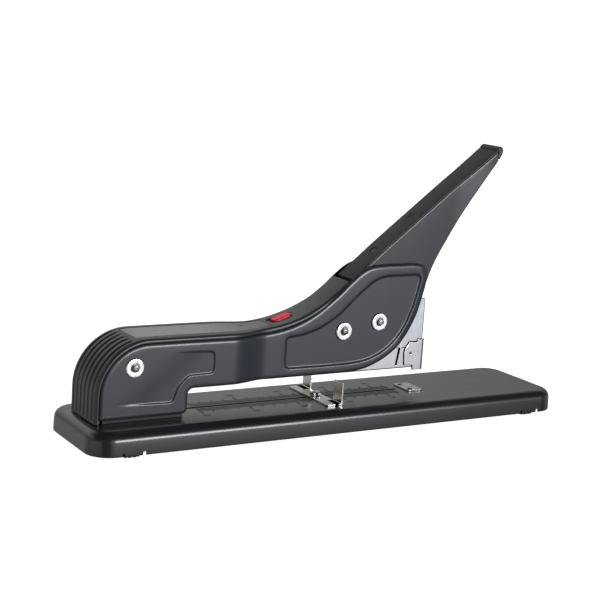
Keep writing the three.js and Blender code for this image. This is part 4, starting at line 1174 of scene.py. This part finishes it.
def stage_mat(name, colour, glow):
    m, nt, b = new_mat(name)
    b.inputs["Base Color"].default_value = (colour, colour, colour, 1)
    b.inputs["Roughness"].default_value = 0.9
    b.inputs["Specular IOR Level"].default_value = 0.0
    b.inputs["Emission Color"].default_value = (1.0, 1.0, 1.0, 1)
    b.inputs["Emission Strength"].default_value = glow
    return m


FS = 9.0
stage_piece("floor", [(-FS, -FS, FLOOR_Z), (FS, -FS, FLOOR_Z), (FS, FS, FLOOR_Z), (-FS, FS, FLOOR_Z)], [(0, 1, 2, 3)], stage_mat("floor_pale", 0.5, 0.93), False)


def backdrop():
    """A white wall all round, well away from the object."""
    n, rings = 64, []
    for r, z in ((8.6, -0.02), (8.6, 3.0), (7.5, 6.0), (4.0, 8.0), (0.4, 8.6)):
        rings.append([(r * math.cos(2 * math.pi * k / n), r * math.sin(2 * math.pi * k / n), z) for k in range(n)])
    stage_piece("backdrop", flat(rings), loop_faces(rings, cap0=False), stage_mat("backdrop_white", 0.2, 1.02), False)


backdrop()


def area(name, loc, target, size, size_y, power, color=(1, 1, 1), glossy=True):
    ld = bpy.data.lights.new(name, "AREA")
    ld.shape = "RECTANGLE"
    ld.size, ld.size_y = size, size_y
    ld.energy = power
    ld.color = color
    ob = bpy.data.objects.new(name, ld)
    bpy.context.scene.collection.objects.link(ob)
    ob.location = loc
    ob.rotation_mode = "QUATERNION"
    ob.rotation_quaternion = (Vector(target) - Vector(loc)).to_track_quat("-Z", "Y")
    ob.visible_camera = False
    ob.visible_glossy = glossy
    return ob


area("key_front_right", (0.74, -2.28, 0.50), (0.0, 0.0, 0.06), 1.25, 0.74, KEY, (0.97, 0.985, 1.0))
area("high_front", (-0.5, -1.9, 2.0), (0.0, 0.0, 0.1), 1.2, 1.0, 8.0, glossy=False)
area("rear_fill", (0.4, 2.5, 1.3), (0.0, 0.0, 0.1), 2.4, 1.2, 34.0, glossy=False)
area("right_fill", (2.6, 0.5, 0.8), (0.1, 0.0, 0.08), 1.6, 1.0, 26.0, glossy=False)


def surroundings():
    """Soft studio surroundings: a lit floor and back wall, dark overhead, to the right and to the front left."""
    world = bpy.data.worlds.new("studio")
    bpy.context.scene.world = world
    world.use_nodes = True
    wn = world.node_tree
    bg = wn.nodes["Background"]
    co = wn.nodes.new("ShaderNodeTexCoord")
    d = co.outputs["Generated"]
    sep = wn.nodes.new("ShaderNodeSeparateXYZ")
    wn.links.new(d, sep.inputs["Vector"])

    def span(value, lo, hi, a, b):
        m = wn.nodes.new("ShaderNodeMapRange")
        m.interpolation_type = "SMOOTHSTEP"
        for k, v in (("From Min", lo), ("From Max", hi), ("To Min", a), ("To Max", b)):
            m.inputs[k].default_value = v
        wn.links.new(value, m.inputs["Value"])
        return m.outputs["Result"]

    def mul(a, b):
        m = wn.nodes.new("ShaderNodeMath")
        m.operation = "MULTIPLY"
        wn.links.new(a, m.inputs[0])
        wn.links.new(b, m.inputs[1])
        return m.outputs["Value"]

    def toward(v):
        m = wn.nodes.new("ShaderNodeVectorMath")
        m.operation = "DOT_PRODUCT"
        wn.links.new(d, m.inputs[0])
        m.inputs[1].default_value = v
        return m.outputs["Value"]
    m = wn.nodes.new("ShaderNodeMapRange")
    m.inputs["From Min"].default_value = -1.0
    m.inputs["From Max"].default_value = 1.0
    wn.links.new(sep.outputs["Z"], m.inputs["Value"])

    def band(stops, low, high, tint):
        cr = wn.nodes.new("ShaderNodeValToRGB")
        wn.links.new(m.outputs["Result"], cr.inputs["Fac"])
        els = cr.color_ramp.elements
        els[0].position, els[0].color = 0.0, (low, low, low, 1)
        els[1].position, els[1].color = 1.0, (high, high, high, 1)
        for pos, c in stops:
            e = els.new(pos)
            e.color = (c * tint[0], c, c * tint[1], 1)
        return cr.outputs["Color"]
    # in front: darker towards +X and towards the front left
    side = wn.nodes.new("ShaderNodeMath")
    side.operation = "MAXIMUM"
    wn.links.new(span(sep.outputs["X"], 0.565, 0.655, 1.0, 0.05), side.inputs[0])
    wn.links.new(span(sep.outputs["X"], 0.90, 0.97, 0.0, 0.60), side.inputs[1])
    f = mul(side.outputs["Value"], span(toward((-0.48, -0.87, 0.0)), 0.86, 0.95, 1.0, 0.02))

    def tinted(colour, factor):
        mx = wn.nodes.new("ShaderNodeMix")
        mx.data_type = "RGBA"
        mx.blend_type = "MULTIPLY"
        mx.inputs["Factor"].default_value = 1.0
        wn.links.new(colour, mx.inputs["A"])
        wn.links.new(factor, mx.inputs["B"])
        return mx.outputs["Result"]
    front = tinted(band(FRONT_BAND, 0.08, 0.01, (0.955, 1.05)), f)
    rear = tinted(band(BACK_BAND, 0.05, 0.01, (0.99, 1.0)), span(sep.outputs["X"], 0.42, 0.80, 1.0, 0.42))
    both = wn.nodes.new("ShaderNodeMix")
    both.data_type = "RGBA"
    wn.links.new(span(sep.outputs["Y"], 0.0, 0.45, 0.0, 1.0), both.inputs["Factor"])
    wn.links.new(front, both.inputs["A"])
    wn.links.new(rear, both.inputs["B"])
    wn.links.new(both.outputs["Result"], bg.inputs["Color"])
    bg.inputs["Strength"].default_value = 1.0

surroundings()

sc = bpy.context.scene
sc.view_settings.view_transform = "Standard"
sc.view_settings.look = "None"
sc.view_settings.exposure = 0.0
sc.view_settings.gamma = 1.0

cam_data = bpy.data.cameras.new("camera")
cam = bpy.data.objects.new("camera", cam_data)
sc.collection.objects.link(cam)
sc.camera = cam
cam_data.sensor_width = 36.0
cam_data.lens = 36.0 * 1451.0 / 601.0
AZ, EL, ROLL = math.radians(-31.549), math.radians(11.209), math.radians(3.766)
back = Vector((math.sin(AZ) * math.cos(EL), -math.cos(AZ) * math.cos(EL), math.sin(EL)))
right = Vector((math.cos(AZ), math.sin(AZ), 0.0))
up = back.cross(right)
R = right * math.cos(ROLL) + up * math.sin(ROLL)
U = up * math.cos(ROLL) - right * math.sin(ROLL)
cam_at = F((-463.42, -1118.99, 374.21))
cam.rotation_mode = "QUATERNION"
cam.matrix_world = Matrix(((R.x, U.x, back.x, cam_at[0]), (R.y, U.y, back.y, cam_at[1]), (R.z, U.z, back.z, cam_at[2]), (0, 0, 0, 1)))
cam_data.clip_start, cam_data.clip_end = 0.05, 60.0
